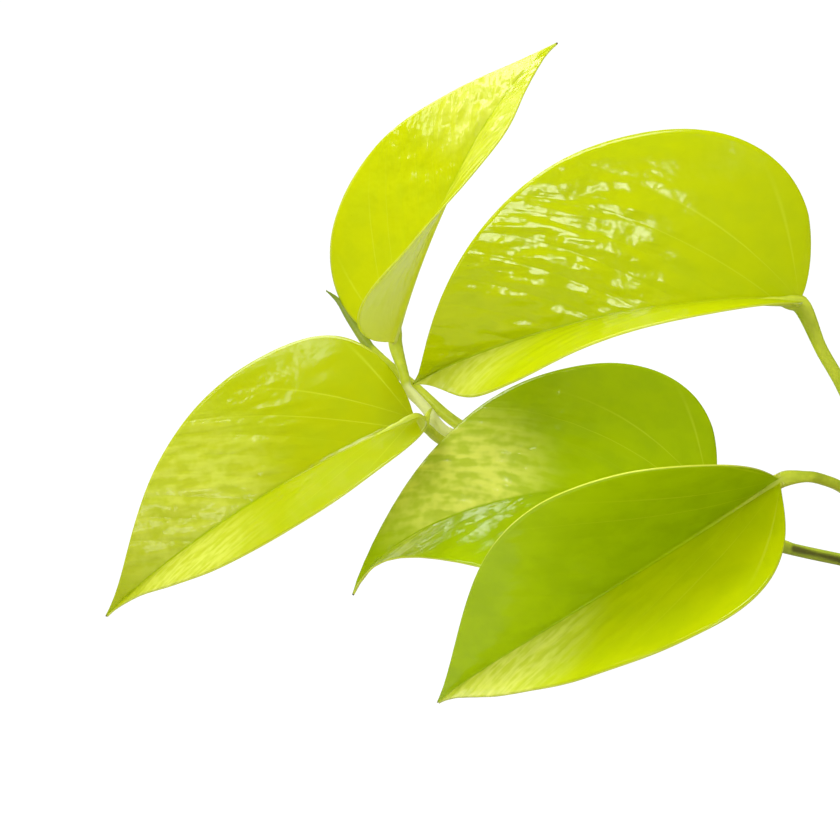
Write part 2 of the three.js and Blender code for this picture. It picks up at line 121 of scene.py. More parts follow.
# The long shoot's stem and what grows on it, in millimetres
SHOOT_STEM = [
    (6, -7, 100), (-2, -8, 107), (-18, -10, 110.5), (-40, -11, 114.5), (-57, -10.5, 118),
    (-78, -9.5, 122), (-94.5, -8.5, 125.5), (-117, -4, 131), (-145, 1.5, 140.5), (-173, 7, 150.5),
]
SHOOT_TOP = [
    (-173, 7, 150.5), (-186, 9.5, 157), (-197.5, 15, 166), (-206, 20.5, 172), (-211, 24.5, 176),
]
SPEAR = [(-211, 24.5, 176), (-216.5, 28.5, 183.5), (-220, 30, 188.5), (-223.5, 29.5, 191.5)]
SPEAR_RADII = [1.6, 1.4, 0.8, 0.3]
SHOOT_PETIOLES = [
    [
        (-40, -11, 114.5), (-51.5, -15, 125), (-63.5, -23.5, 140.5), (-77, -36.5, 163),
        (-86.5, -42, 181), (-92, -44, 190),
    ],
    [
        (-65.5, -10, 119.5), (-73, -30.5, 137), (-81, -50, 150), (-88.5, -60.5, 157.5),
        (-94, -66.5, 161), (-99, -71.5, 163.2),
    ],
    [(-96.5, -8.5, 126), (-101, -8.5, 133.5), (-107, -10, 138)],
    [(-145, 1.5, 140.5), (-158, 3, 143.5), (-173.5, 3, 147), (-190, 2.5, 153.5), (-194, -1.5, 158)],
    [(-173, 6.5, 150), (-189, 6, 155), (-194.5, 6.5, 162), (-199.5, 8, 167), (-200.5, 9, 171)],
]
SHEATH = [(-180, 6.3, 152.5), (-189, 6, 155.3), (-194.5, 6.3, 162), (-199, 7.8, 166.6)]
SHEATH_RADIUS = 1.8
LIGULE = [(-194.5, -3, 159.5), (-193.8, -1.5, 162), (-192.5, 1, 163.5)]
LIGULE_RADII = [1.2, 0.9, 0.3]
SHOOT_PETIOLE_RADII = [1.75, 1.5, 1.5, 1.5, 1.5]
SCALE_LEAF = [(-92, -9, 125.3), (-95, -9.6, 127.6), (-96.8, -10, 129.8)]
SCALE_LEAF_RADII = [1.5, 0.9, 0.25]
SCAR_STREAK = [(-91, -10.4, 125.4), (-85, -11.4, 124.2), (-79, -11.4, 122.6), (-72, -11.6, 120.8)]
OLD_STRETCH = [
    (-96, -8.5, 125.8), (-78, -9.5, 122), (-57, -10.5, 118), (-40, -11, 114.5), (-18, -10, 110.5),
]

# The other vines and the crown, by the same rules and draws as the frame's own nodes
VINES = [
    dict(heading=-98, rise=47, reach=112, end=90, first=65),
    dict(heading=-62, rise=49, reach=118, end=88, first=56),
    dict(heading=-26, rise=47, reach=114, end=91, first=65),
    dict(heading=10, rise=49, reach=120, end=87, first=56),
    dict(heading=46, rise=47, reach=115, end=90, first=65),
    dict(heading=82, rise=49, reach=112, end=88, first=56),
]
FOOT_RING = 28
FIRST_NODE = 0.32
PETIOLE_OUT = 8
PETIOLE_SIDE = [2, -22, 21, -19, 8]
LATER_LIFTS = [34, 14, 10, 6]
BLADE_TURN = [2, -24, 24, -24, 6]
VINE_BLADE = 92
BLADE_SHRINK = 0.94
JITTER_SEED = 41
CROWN_FOOT = (10, 6)
CROWN_HEADINGS = [-142, -96, -48, 2, 50, 94, 140]
CROWN_STEM = 34
CROWN_LIFT = [113, 136]
CROWN_OUT = [28, 18]
CROWN_BLADE = 80
SOIL_LEVEL = 96
SOIL_MOUND = 3
ROOTED_DEPTH = 24
CLEARANCE = 0.3

# Sizes of stems and blades. The frame's own petioles and blades are plain rods and plates.
STEM_RADIUS = 1.8
TIP_STEM_RADIUS = 1.4
STEM_TAPER = 0.85
RULED_PETIOLE_RADIUS = 1.2
PLAIN_PETIOLE_RADIUS = 1.3
CAD_THICKNESS = 0.8
RIB_STEPS = 24
HOOK_POWER = 4
RIB_EASE = 1.25
THICKEST_FOLD = 1.5

# The end of a petiole under its blade: how far along, as a share of the length, how deep under the
# midrib in millimetres, and how thick for the petiole's radius. It starts a little behind the blade.
PETIOLE_TAIL = [(0.015, 1.0, 1.25), (0.05, 0.65, 0.72), (0.1, 0.5, 0.35)]
BEHIND_BLADE = 0.8
NODE_SWELL = 1.6

# How finely the blades are made: rows along, columns out, and the share of the rows that the lobes take
SHOOT_GRID = dict(rows=150, columns=44, lobe_share=0.3)
RULED_GRID = dict(rows=56, columns=18, lobe_share=0.25)

# How near a path the stems are painted, in millimetres: in full up to the first distance, not at all
# beyond the second
SHEATH_PAINT = (1.5, 3.2)
STREAK_PAINT = (0.5, 1.5)
AGED_PAINT = (0.8, 3.2)
FOOT_PAINT = (2, 20)
SCAR_PAINT = (0.5, 3)
COARSER_VOXEL = 1.25

# Side veins: how far forward they run for each step out, how they arch at the margin, how close
# the ones that fan out of the base stand, how far back the fan reaches, and where the lanes between
# the veins start on each half
VEIN_SLOPE = 1.4
VEIN_ARCH = 8.0
BASAL_SPREAD = 0.175
FAN_END = -0.3
LEFT_LANES = 0.2
RIGHT_LANES = 0.45

# The pot and its soil
POT_HEIGHT = 110
RIM_RADIUS = 68
BASE_RADIUS = 46
WALL = 6
FLOOR = 8
RIM_BAND = 24
RIM_STEP = 4
DRAIN_HOLES = 4
DRAIN_RADIUS = 4.5
DRAIN_RING = 24
LIP_ROUND = 2
SOIL_GAP = 0.4
BARK_FROM = 0.5
GRIT_FROM = 0.86

# The soft boxes of the key light: azimuth, elevation, distance, size and share of its brightness
KEY_BOXES = {
    "front_box": (-20, 27.5, 1.2, (0.25, 0.40), 1.9),
    "high_box": (-113, 72, 1.2, (0.52, 0.5), 1.3),
    "left_box": (-90, 50, 1.2, (0.24, 0.24), 0.9),
    "low_box": (-52, 14, 1.2, (0.3, 0.26), 0.6),
    "back_box": (-145, 46, 1.2, (0.60, 0.60), 0.9),
}


# Placing


def only(ob):
    """Selects one object and makes it active."""
    bpy.ops.object.select_all(action="DESELECT")
    ob.select_set(True)
    bpy.context.view_layer.objects.active = ob


def applied(ob, kind, **settings):
    """Adds a modifier to an object, sets it and applies it."""
    only(ob)
    bpy.ops.object.modifier_add(type=kind)
    modifier = ob.modifiers[-1]
    for key, value in settings.items():
        setattr(modifier, key, value)
    bpy.ops.object.modifier_apply(modifier=modifier.name)


def joined(objects, name):
    """Joins several objects into one with its place in its mesh."""
    bpy.ops.object.select_all(action="DESELECT")
    for ob in objects:
        ob.select_set(True)
    bpy.context.view_layer.objects.active = objects[0]
    if len(objects) > 1:
        bpy.ops.object.join()
    ob = bpy.context.active_object
    bpy.ops.object.transform_apply(location=True, rotation=True, scale=True)
    ob.name = name
    ob.data.name = name
    return ob


def dressed(ob, nodes, material):
    """Gives a piece its material, hides the frame's nodes that it stands for and hangs it from the root."""
    ob.data.materials.clear()
    ob.data.materials.append(material)
    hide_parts(*nodes)
    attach(ob, "root")
    return ob


def weld(ob, distance=0.001 * MM):
    """Merges the doubled points of a mesh."""
    only(ob)
    bpy.ops.object.mode_set(mode="EDIT")
    bpy.ops.mesh.select_all(action="SELECT")
    bpy.ops.mesh.remove_doubles(threshold=distance)
    bpy.ops.object.mode_set(mode="OBJECT")


def painted(ob, name, values):
    """Writes one number for each point of a mesh as a named attribute."""
    attribute = ob.data.attributes.get(name) or ob.data.attributes.new(name, "FLOAT", "POINT")
    attribute.data.foreach_set("value", values)


def mix(a, b, share):
    """The value at a share of the way from one to another."""
    return a + (b - a) * share


def smooth_step(low, high, x):
    """A share that rises softly from 0 at low to 1 at high."""
    s = min(max((x - low) / (high - low), 0.0), 1.0)
    return s * s * (3 - 2 * s)


# Curves


def grown_curve(points, steps):
    """A smooth curve through points, with an even number of steps between each two."""
    knots = [Vector(p) for p in points]
    knots = [2 * knots[0] - knots[1], *knots, 2 * knots[-1] - knots[-2]]
    made = [knots[1]]
    for i in range(1, len(knots) - 2):
        before, start, end, after = knots[i - 1 : i + 3]
        gaps = [max((b - a).length ** 0.5, 1e-4) for a, b in ((before, start), (start, end), (end, after))]
        leave = (start - before) / gaps[0] - (end - before) / (gaps[0] + gaps[1]) + (end - start) / gaps[1]
        arrive = (end - start) / gaps[1] - (after - start) / (gaps[1] + gaps[2]) + (after - end) / gaps[2]
        leave *= gaps[1]
        arrive *= gaps[1]
        for step in range(1, steps + 1):
            s = step / steps
            made.append(
                start
                + leave * s
                + (3 * (end - start) - 2 * leave - arrive) * s * s
                + (2 * (start - end) + leave + arrive) * s**3
            )
    return made


def bezier(points, share):
    """The point at a share of a Bezier curve of any degree."""
    row = [Vector(p) for p in points]
    while len(row) > 1:
        row = [a.lerp(b, share) for a, b in zip(row, row[1:])]
    return row[0]


def rod(points, radii):
    """A round rod along points in millimetres, thick as its radii say, as a mesh."""
    bpy.ops.curve.primitive_nurbs_path_add()
    ob = bpy.context.active_object
    ob.data.splines.clear()
    spline = ob.data.splines.new("POLY")
    spline.points.add(len(points) - 1)
    for point, place, radius in zip(spline.points, points, radii):
        point.co = (*(Vector(place) * MM), 1)
        point.radius = radius
    ob.data.bevel_depth = MM
    ob.data.bevel_resolution = 3
    ob.data.use_fill_caps = True
    bpy.ops.object.convert(target="MESH")
    return bpy.context.active_object


def even(count, start, end=None):
    """Radii that run evenly from start to end."""
    end = start if end is None else end
    return [mix(start, end, i / (count - 1)) for i in range(count)]


# Blades


def rib_of(blade):
    """The midrib of a blade: at each step its place, its direction, the way its face looks and its left."""
    heading, pitch = math.radians(blade["heading"]), math.radians(blade["pitch"])
    flat = Vector((math.cos(heading), math.sin(heading), 0))
    along = flat * math.cos(pitch) + Vector((0, 0, math.sin(pitch)))
    face = -flat * math.sin(pitch) + Vector((0, 0, math.cos(pitch)))
    face.rotate(Quaternion(along, math.radians(blade["roll"])))
    place = Vector(blade["base"])
    rib = [(place, along, face, face.cross(along))]
    step = 1 / RIB_STEPS
    for i in range(RIB_STEPS):
        place, along, face, left = rib[-1]
        s = (i + 0.5) * step
        bend = math.radians(blade["droop"] + blade["hook"] * (HOOK_POWER + 1) * s**HOOK_POWER) * step
        side = math.radians(blade["sickle"]) * step
        twist = math.radians(blade["twist"]) * step
        turned = (along - face * bend + left * side).normalized()
        looks = face + along * bend - left * twist
        looks = (looks - turned * looks.dot(turned)).normalized()
        reached = place + (along + turned) * (0.5 * step * blade["length"])
        rib.append((reached, turned, looks, looks.cross(turned)))
    return rib


def rib_at(rib, x, length):
    """The rib's frame at a share x of the length; behind the base it runs straight back."""
    at = min(max(x, 0), 1) * RIB_STEPS
    i = min(int(at), RIB_STEPS - 1)
    place, along, face, left = (a.lerp(b, at - i) for a, b in zip(rib[i], rib[i + 1]))
    return place + along * (min(x, 0) * length), along, face, left


def through(values, x):
    """A value that runs through its base, middle and tip values."""
    s = min(max(x, 0), 1)
    base, middle, tip = values
    return base * (1 - s) * (1 - 2 * s) + 4 * middle * s * (1 - s) + tip * s * (2 * s - 1)


def margin_at(half, widest, row, lobe_share):
    """The point of one half's margin at a share of its rows: along and out, in shares of the length."""
    if row <= lobe_share:
        corners = [(0, 0, 0), (-1.1 * half["lobe"], 0.08, 0), (-1.5 * half["lobe"], 1, 0), (widest, 1, 0)]
        point = bezier(corners, row / lobe_share)
    else:
        corners = [(widest, 1, 0), (widest + 0.36, 1, 0), (0.76, 0.14, 0), (1, 0, 0)]
        point = bezier(corners, (row - lobe_share) / (1 - lobe_share))
    return point.x, point.y * half["width"]


def side_lane(x, y, sign, lanes):
    """Which lane between the side veins a point lies in, as a number that is whole on each vein."""
    reach = VEIN_SLOPE * y + VEIN_ARCH * y**4 + 0.0001
    run = x - reach
    if run < 0:
        run = max(run * BASAL_SPREAD / reach, FAN_END)
    return run * lanes + (RIGHT_LANES if sign < 0 else LEFT_LANES)


def quilting(x, y, share, sign, shape, seed):
    """How far the surface bulges between the side veins, in millimetres."""
    lane = side_lane(x, y, sign, shape.side_veins)
    bulge = math.sin(math.pi * (lane % 1.0)) ** 1.2
    broken = noise.noise(Vector((lane * 0.9 + seed, y * 24, seed * 3.1)))
    across = smooth_step(0, 0.15, share) * (1 - share**6)
    envelope = across * smooth_step(0.02, 0.25, x) * smooth_step(1, 0.85, x)
    puckers = noise.noise(Vector((x * 19 + seed, y * 19 * sign, 7.7)))
    knobs = noise.noise(Vector((x * 42 + seed, y * 42 * sign, 3.3)))
    return shape.quilt_height * envelope * (bulge * (0.5 + 1.1 * broken) + 0.5 * puckers + 0.14 * knobs)


def waving(x, y, share, sign, shape, seed):
    """Slow unevenness of the whole blade and of its margin, in millimetres."""
    slow = noise.noise(Vector((x * 3.2 + seed, sign * y * 5, seed)))
    margin = noise.noise(Vector((x * 7 + seed, sign * 2.3, seed + 9)))
    return shape.wave_height * smooth_step(0, 0.5, share) * (slow + margin * share**3)


def blade_point(blade, rib, sign, x, y):
    """The upper side of a blade at x along and y out on one half, and the way it faces there."""
    half = blade["left"] if sign > 0 else blade["right"]
    place, along, face, left = rib_at(rib, x, blade["length"])
    fold = math.radians(through(half["fold"], x))
    curl = math.radians(half["curl"]) / half["width"]
    out = (math.sin(fold + curl * y) - math.sin(fold)) / curl
    up = (math.cos(fold) - math.cos(fold + curl * y)) / curl
    lean = fold + curl * y
    point = place + left * (sign * out * blade["length"]) + face * (up * blade["length"])
    looks = face * math.cos(lean) - left * (sign * math.sin(lean)) if y > 0 else face.copy()
    return point, looks.normalized()


def shaped_blade(ob, blade, shape, lobe_share, seed):
    """Moves the points of a flat grid to where they lie on the grown blade, and paints its marks, the painted
    shade and painted highlight among them.
    """
    rib = rib_of(blade)
    mesh = ob.data
    markings = mesh.uv_layers.new(name="Markings")
    coordinates, quilts, ages, painted_shades, painted_highlights = [], [], [], [], []
    for vertex in mesh.vertices:
        row, sign = (vertex.co.y + 1) / 2, (1 if vertex.co.x <= 0 else -1)
        share = min(abs(vertex.co.x), 1.0) ** shape.column_ease
        half = blade["left"] if sign > 0 else blade["right"]
        edge_x, edge_y = margin_at(half, blade["widest"], row, lobe_share)
        x, y = mix(row**RIB_EASE, edge_x, share), edge_y * share
        point, looks = blade_point(blade, rib, sign, x, y)
        quilt = blade.get("quilt", 0.7) * (1 - half.get("plain", 0) * smooth_step(0, 0.1, share))
        quilt *= mix(0.35, 1.1, smooth_step(0.05, 0.5, x))
        quilts.append(quilt * smooth_step(1, 0.85, x))
        age = blade.get("age", 0.5)
        ages.append(mix(age, half.get("age", age), smooth_step(0, 0.04, share)))
        # Tone is painted shade that darkens the whole blade
        painted_shades.append(blade.get("tone", 0))
        # Painted highlight: a paler, blotched patch drawn into the colour where the gloss glares
        along, out, reach, strength = half.get("painted_highlight", (0, 0, 1, 0))
        away = math.hypot(x - along, y - out) / reach
        painted_highlights.append(strength * (1 - smooth_step(0.3, 1, away)) * smooth_step(0, 0.03, share))
        lift = quilting(x, y, share, sign, shape, seed) * quilt
        lift += waving(x, y, share, sign, shape, seed) * smooth_step(0, 0.15, row) * smooth_step(1, 0.9, row)
        lift += half.get("bow", 0) * (1 - (2 * x - 1) ** 2) * smooth_step(0, 0.5, share)
        lift -= (CAD_THICKNESS - shape.blade_thickness) / 2
        lift -= shape.groove_depth * math.exp(-((y * blade["length"] / 0.55) ** 2)) * (1 - row)
        coordinates.append((0.5 + sign * y, x))
        vertex.co = (point + looks * lift) * MM
    for loop in mesh.loops:
        markings.data[loop.index].uv = coordinates[loop.vertex_index]
    painted(ob, "Quilt", quilts)
    painted(ob, "Age", ages)
    painted(ob, "PaintedShade", painted_shades)
    painted(ob, "PaintedHighlight", painted_highlights)


def keeled(ob, upper, shape, length):
    """Marks the underside and raises the midrib's keel on it."""
    mesh = ob.data
    uv = mesh.uv_layers["Markings"].data
    place = {}
    for loop in mesh.loops:
        place[loop.vertex_index] = uv[loop.index].uv
    under = [float(i >= upper) for i in range(len(mesh.vertices))]
    outward = [vertex.normal.copy() for vertex in mesh.vertices]
    for vertex in mesh.vertices[upper:]:
        out, x = (place[vertex.index][0] - 0.5) * length, min(max(place[vertex.index][1], 0), 1)
        width = mix(shape.keel_width, 0.3, x)
        height = mix(shape.keel_height, 0.1, x)
        vertex.co += outward[vertex.index] * (height * math.exp(-((out / width) ** 2)) * MM)
    painted(ob, "Underside", under)


def make_blade(node, blade, shape, material, seed, rows, columns, lobe_share):
    """Makes one fine blade for a node of the frame."""
    bpy.ops.mesh.primitive_grid_add(x_subdivisions=2 * columns, y_subdivisions=rows, size=2)
    ob = bpy.context.active_object
    ob.name = ob.data.name = "fine_" + node
    shaped_blade(ob, blade, shape, lobe_share, seed)
    weld(ob)
    upper = len(ob.data.vertices)
    applied(ob, "SOLIDIFY", thickness=shape.blade_thickness * MM, offset=-1, use_even_offset=False)
    keeled(ob, upper, shape, blade["length"])
    only(ob)
    bpy.ops.object.shade_smooth()
    return dressed(ob, [node], material)


# The rules of the vines and the crown


def make_draw(seed):
    """A repeatable draw between -1 and 1."""
    state = seed

    def draw():
        nonlocal state
        state = (state * 1664525 + 1013904223) % 4294967296
        return 2 * state / 4294967296 - 1

    return draw


def ruled_half(draw):
    """One half of a crown or vine blade."""
    return dict(width=0.36, lobe=0.05, fold=(34, 22 + 6 * draw(), 26), curl=-10)


def drawn_blade(draw, base, length, spread, heading, pitch, roll, droop, age):
    """A crown or vine blade that is bent and turned a little otherwise than the next one."""
    return dict(
        base=base,
        length=length * (1 + spread * draw()),
        heading=heading + 6 * draw(),
        pitch=pitch + 6 * draw(),
        roll=roll + 8 * draw(),
        droop=droop + 8 * draw(),
        hook=14 + 6 * draw(),
        sickle=6 * draw(),
        twist=8 * draw(),
        widest=0.27,
        left=ruled_half(draw),
        right=ruled_half(draw),
        age=age,
    )


def crown_plan(draw):
    """The crown's stem and blades: blades that nod outwards from tall petioles, high and low in turn."""
    foot = Vector((*CROWN_FOOT, SOIL_LEVEL + SOIL_MOUND + 1))
    top = foot + Vector((0, 0, CROWN_STEM))
    blades, nodes = [], []
    for i, degrees in enumerate(CROWN_HEADINGS):
        heading = math.radians(degrees)
        out = Vector((math.cos(heading), math.sin(heading), 0))
        nodes.append(foot.lerp(top, mix(0.3, 1, i / (len(CROWN_HEADINGS) - 1))))
        base = foot + out * (CROWN_OUT[i % 2] + 3 * draw())
        base.z += CROWN_LIFT[i % 2] + 4 * draw()
        blades.append(drawn_blade(draw, base, CROWN_BLADE, 0.06, degrees, 36, 0, 60, age=0.2))
    return dict(name="crown", stem=[foot, top], blades=blades, nodes=nodes, bows=[4] * len(blades))


def vine_plan(vine, number, draw):
    """One vine's stem and blades, left and right in turn."""
    heading = math.radians(vine["heading"])
    out = Vector((math.cos(heading), math.sin(heading), 0))
    side = Vector((-out.y, out.x, 0))

    def at(radius, z):
        return out * radius + Vector((0, 0, z))

    crest = SOIL_LEVEL + vine["rise"] * 1.4
    corners = [
        at(FOOT_RING, SOIL_LEVEL + SOIL_MOUND + 1),
        at(FOOT_RING + 3, crest),
        at(vine["reach"] - 8, crest),
        at(vine["reach"], vine["end"]),
    ]
    lifts = [vine["first"], *LATER_LIFTS]
    blades, nodes, bows = [], [], []
    for i, turn in enumerate(BLADE_TURN):
        share = i / (len(BLADE_TURN) - 1)
        node = bezier(corners, mix(FIRST_NODE, 1, share))
        base = node + out * (PETIOLE_OUT + 3 * draw())
        base += side * (PETIOLE_SIDE[i] + 3 * draw())
        base.z += lifts[i] + 3 * draw()
        pitch, droop, age = mix(14, -40, share), mix(52, 30, share), 0.5 + 0.4 * (1 - share)
        length, heading = VINE_BLADE * BLADE_SHRINK**i, vine["heading"] + turn
        blades.append(drawn_blade(draw, base, length, 0.04, heading, pitch, -turn / 2, droop, age))
        nodes.append(node)
        bows.append(mix(10, 4, share))
    stem = [bezier(corners, i / 40) for i in range(41)]
    return dict(name=f"vine_{number}", stem=stem, blades=blades, nodes=nodes, bows=bows)


def ruled_plans():
    """The plans of the crown and of each vine, in the order of their draws."""
    draw = make_draw(JITTER_SEED)
    return [crown_plan(draw), *(vine_plan(vine, i + 1, draw) for i, vine in enumerate(VINES))]


def petiole_end(blade, start):
    """Where a petiole that comes from a place ends, just under the blade's base."""
    place, along, face, left = rib_of(blade)[0]
    arrival = (place - start).normalized()
    tilt = math.sqrt(max(0, 1 - arrival.dot(face) ** 2))
    mitre = min(1 / math.cos(math.radians(blade["left"]["fold"][0])), THICKEST_FOLD)
    return place - face * (CAD_THICKNESS * mitre + CLEARANCE + PLAIN_PETIOLE_RADIUS * tilt)


def under_midrib(blade, x, depth):
    """A point under the midrib of a blade."""
    place, along, face, left = rib_at(rib_of(blade), x, blade["length"])
    return place - face * depth


def tapered(knots, sizes, steps):
    """Points of a smooth curve through knots, with the radii of the knots run on between them."""
    points = grown_curve(knots, steps)
    radii = [sizes[0]]
    for before, after in zip(sizes, sizes[1:]):
        radii.extend(mix(before, after, smooth_step(0, 1, i / steps)) for i in range(1, steps + 1))
    return points, radii


def petiole_rod(knots, blade, radius):
    """A petiole through its knots, swollen at its node and its blade and run out under the midrib."""
    tail = [(-BEHIND_BLADE / blade["length"], 1.6, 1.4), *PETIOLE_TAIL]
    ends = [under_midrib(blade, x, depth) for x, depth, share in tail]
    sizes = [NODE_SWELL, *([1.0] * (len(knots) - 1)), *(share for x, depth, share in tail)]
    return rod(*tapered([*knots, *ends], [radius * size for size in sizes], 6))


# Stems


def thinning(radii, count):
    """Radii for a number of points that run softly from the first of a few to the last."""
    return [bezier([(radius, 0, 0) for radius in radii], i / (count - 1)).x for i in range(count)]


def rod_with_petioles(plan):
    """A ruled stem with its petioles, as one mesh of many rods."""
    stem = plan["stem"]
    if len(stem) == 2:
        stem = [stem[0].lerp(stem[1], i / 20) for i in range(21)]
    low = Vector((stem[0].x, stem[0].y, SOIL_LEVEL - ROOTED_DEPTH + CLEARANCE))
    foot = [low.lerp(stem[0], i / 6) for i in range(6)]
    rods = [rod([*foot, *stem], even(len(stem) + 6, STEM_RADIUS, STEM_RADIUS * STEM_TAPER))]
    for node, blade, bow in zip(plan["nodes"], plan["blades"], plan["bows"]):
        middle = node.lerp(Vector(blade["base"]), 0.45) + Vector((0, 0, bow))
        corners = [node, middle, petiole_end(blade, middle)]
        knots = [bezier(corners, i / 6) for i in range(6)]
        rods.append(petiole_rod(knots, blade, RULED_PETIOLE_RADIUS))
    return rods


def long_shoot_rods():
    """The long shoot's stem, petioles, sheath, pointed sheath end and rolled leaf, as rods."""
    foot = Vector(SHOOT_STEM[0])
    low = Vector((foot.x, foot.y, SOIL_LEVEL - ROOTED_DEPTH + CLEARANCE))
    stem = [low, low.lerp(foot, 0.5), *grown_curve(SHOOT_STEM, 10)]
    top = grown_curve(SHOOT_TOP, 8)
    spear = grown_curve(SPEAR, 6)
    sheath = grown_curve(SHEATH, 8)
    ligule = grown_curve(LIGULE, 6)
    rods = [
        rod(stem, even(len(stem), STEM_RADIUS)),
        rod(top, even(len(top), STEM_RADIUS, TIP_STEM_RADIUS)),
        rod(spear, thinning(SPEAR_RADII, len(spear))),
        rod(sheath, even(len(sheath), SHEATH_RADIUS, SHEATH_RADIUS * STEM_TAPER)),
        rod(ligule, thinning(LIGULE_RADII, len(ligule))),
        rod(*tapered([Vector(p) for p in SCALE_LEAF], SCALE_LEAF_RADII, 6)),
    ]
    for route, blade, radius in zip(SHOOT_PETIOLES, SHOOT_BLADES, SHOOT_PETIOLE_RADII):
        rods.append(petiole_rod([Vector(knot) for knot in route], blade, radius))
    return rods


def grown_together(rods, name, voxel):
    """Joins rods into one skin with soft forks."""
    ob = joined(rods, name)
    applied(ob, "REMESH", mode="VOXEL", voxel_size=voxel * MM, use_smooth_shade=True)
    applied(ob, "SMOOTH", factor=0.5, iterations=4)
    return ob


def near_path(points, inner, reach):
    """A measure of how near a place is to a path: 1 up to the inner distance and 0 at its reach."""
    path = [Vector(p) for p in points]

    def measure(place):
        best = min((place - p).length for p in path)
        return 1 - smooth_step(inner, reach, best)

    return measure


def paint_near(ob, name, paths, inner, reach):
    """Paints an attribute on a mesh near some paths in millimetres."""
    measures = [near_path(path, inner, reach) for path in paths]
    values = [max(measure(v.co / MM) for measure in measures) for v in ob.data.vertices]
    painted(ob, name, values)


# The pot and the soil


def inner_radius(z):
    """The inner radius of the pot's wall at a height."""
    return mix(BASE_RADIUS - WALL, RIM_RADIUS - WALL - LIP_ROUND, z / POT_HEIGHT)


def turned(name, profile, segments):
    """A closed turned solid: a disc extruded from ring to ring, with radius and height in millimetres."""
    radius, height = profile[0]
    bpy.ops.mesh.primitive_circle_add(
        vertices=segments, radius=radius * MM, fill_type="NGON", location=(0, 0, height * MM)
    )
    ob = bpy.context.active_object
    ob.name = ob.data.name = name
    bpy.ops.object.transform_apply(location=True)
    bpy.ops.object.mode_set(mode="EDIT")
    bpy.ops.mesh.select_all(action="SELECT")
    for next_radius, next_height in profile[1:]:
        rise = (0, 0, (next_height - height) * MM)
        bpy.ops.mesh.extrude_region_move(TRANSFORM_OT_translate={"value": rise})
        scale = next_radius / radius
        bpy.ops.transform.resize(value=(scale, scale, 1), center_override=(0, 0, next_height * MM))
        radius, height = next_radius, next_height
    bpy.ops.mesh.select_all(action="SELECT")
    bpy.ops.mesh.normals_make_consistent(inside=False)
    bpy.ops.object.mode_set(mode="OBJECT")
    return ob


def arc(centre, radius, start, end, steps):
    """Points of an arc in a profile, with its angles in degrees from straight out."""
    angles = [math.radians(mix(start, end, i / steps)) for i in range(steps + 1)]
    return [(centre[0] + radius * math.cos(a), centre[1] + radius * math.sin(a)) for a in angles]


def pot_profile():
    """The pot's outline from the middle of its foot up the outside and down the inside to its floor."""
    band = POT_HEIGHT - RIM_BAND
    neck = RIM_RADIUS - RIM_STEP - 1
    wall = [(mix(BASE_RADIUS + 0.3, neck, i / 8), mix(2, band - 1, i / 8)) for i in range(9)]
    inside = [(inner_radius(z), z) for z in (104, 90, 75, 60, 45, 30, FLOOR + 4)]
    return [
        *arc((BASE_RADIUS - 1.8, 2), 2, -90, -12, 4),
        *wall,
        (neck + 0.4, band),
        *arc((RIM_RADIUS - 2, band + 1.5), 1.4, -90, 0, 4),
        (RIM_RADIUS - 0.3, band + 12),
        *arc((RIM_RADIUS - 2.2, POT_HEIGHT - 2.2), 2.2, 0, 90, 5),
        *arc((RIM_RADIUS - WALL - 0.2, POT_HEIGHT - 2), 2, 90, 180, 5),
        *inside,
        (inner_radius(FLOOR) - 3, FLOOR),
    ]


def bored(ob):
    """Cuts the drain holes out of the pot's floor."""
    for i in range(DRAIN_HOLES):
        angle = 2 * math.pi * (i + 0.5) / DRAIN_HOLES
        place = (DRAIN_RING * math.cos(angle) * MM, DRAIN_RING * math.sin(angle) * MM, FLOOR / 2 * MM)
        bpy.ops.mesh.primitive_cylinder_add(
            vertices=32, radius=DRAIN_RADIUS * MM, depth=3 * FLOOR * MM, location=place
        )
        bore = bpy.context.active_object
        applied(ob, "BOOLEAN", operation="DIFFERENCE", solver="EXACT", object=bore)
        bpy.data.objects.remove(bore)


def soil_height(x, y, feet):
    """The height of the soil's surface at a place, in millimetres."""
    edge = inner_radius(SOIL_LEVEL)
    far = min(math.hypot(x, y) / edge, 1)
    rough = noise.noise(Vector((x * 0.09, y * 0.09, 1.3))) * 2.2
    rough += noise.noise(Vector((x * 0.3, y * 0.3, 4.1))) * 1.1
    fine = noise.noise(Vector((x * 0.8, y * 0.8, 8.2))) * 0.7
    heap = sum(1.6 * math.exp(-(((x - f.x) ** 2 + (y - f.y) ** 2) / 40)) for f in feet)
    dip = -1.5 * smooth_step(0.9, 1, far)
    return SOIL_LEVEL + SOIL_MOUND * (1 - far * far) + (rough + fine) * (1 - 0.6 * far**4) + heap + dip


def make_soil_top(feet):
    """The soil's body with an uneven top."""
    edge = inner_radius(SOIL_LEVEL) - CLEARANCE
    rings = [(edge * (1 - i / 40), SOIL_LEVEL) for i in range(40)]
    sides = [(inner_radius(FLOOR) - SOIL_GAP, FLOOR + CLEARANCE), (inner_radius(50) - SOIL_GAP, 50)]
    profile = [*sides, *rings]
    ob = turned("fine_soil", profile, 120)
    for vertex in ob.data.vertices:
        if vertex.co.z > (SOIL_LEVEL - 1) * MM:
            vertex.co.z = soil_height(vertex.co.x / MM, vertex.co.y / MM, feet) * MM
    return ob


def crumb_shapes():
    """A few rough lumps, each a squashed and dented ball."""
    shapes = []
    for i in range(5):
        bpy.ops.mesh.primitive_ico_sphere_add(subdivisions=1, radius=1)
        ob = bpy.context.active_object
        points = []
        for vertex in ob.data.vertices:
            dent = 1 + 0.55 * noise.noise(vertex.co * 1.7 + Vector((i * 5.0, 0, 0)))
            points.append(Vector((vertex.co.x, vertex.co.y * 0.8, vertex.co.z * 0.65)) * dent)
        shapes.append((points, [tuple(p.vertices) for p in ob.data.polygons]))
        bpy.data.objects.remove(ob)
    return shapes


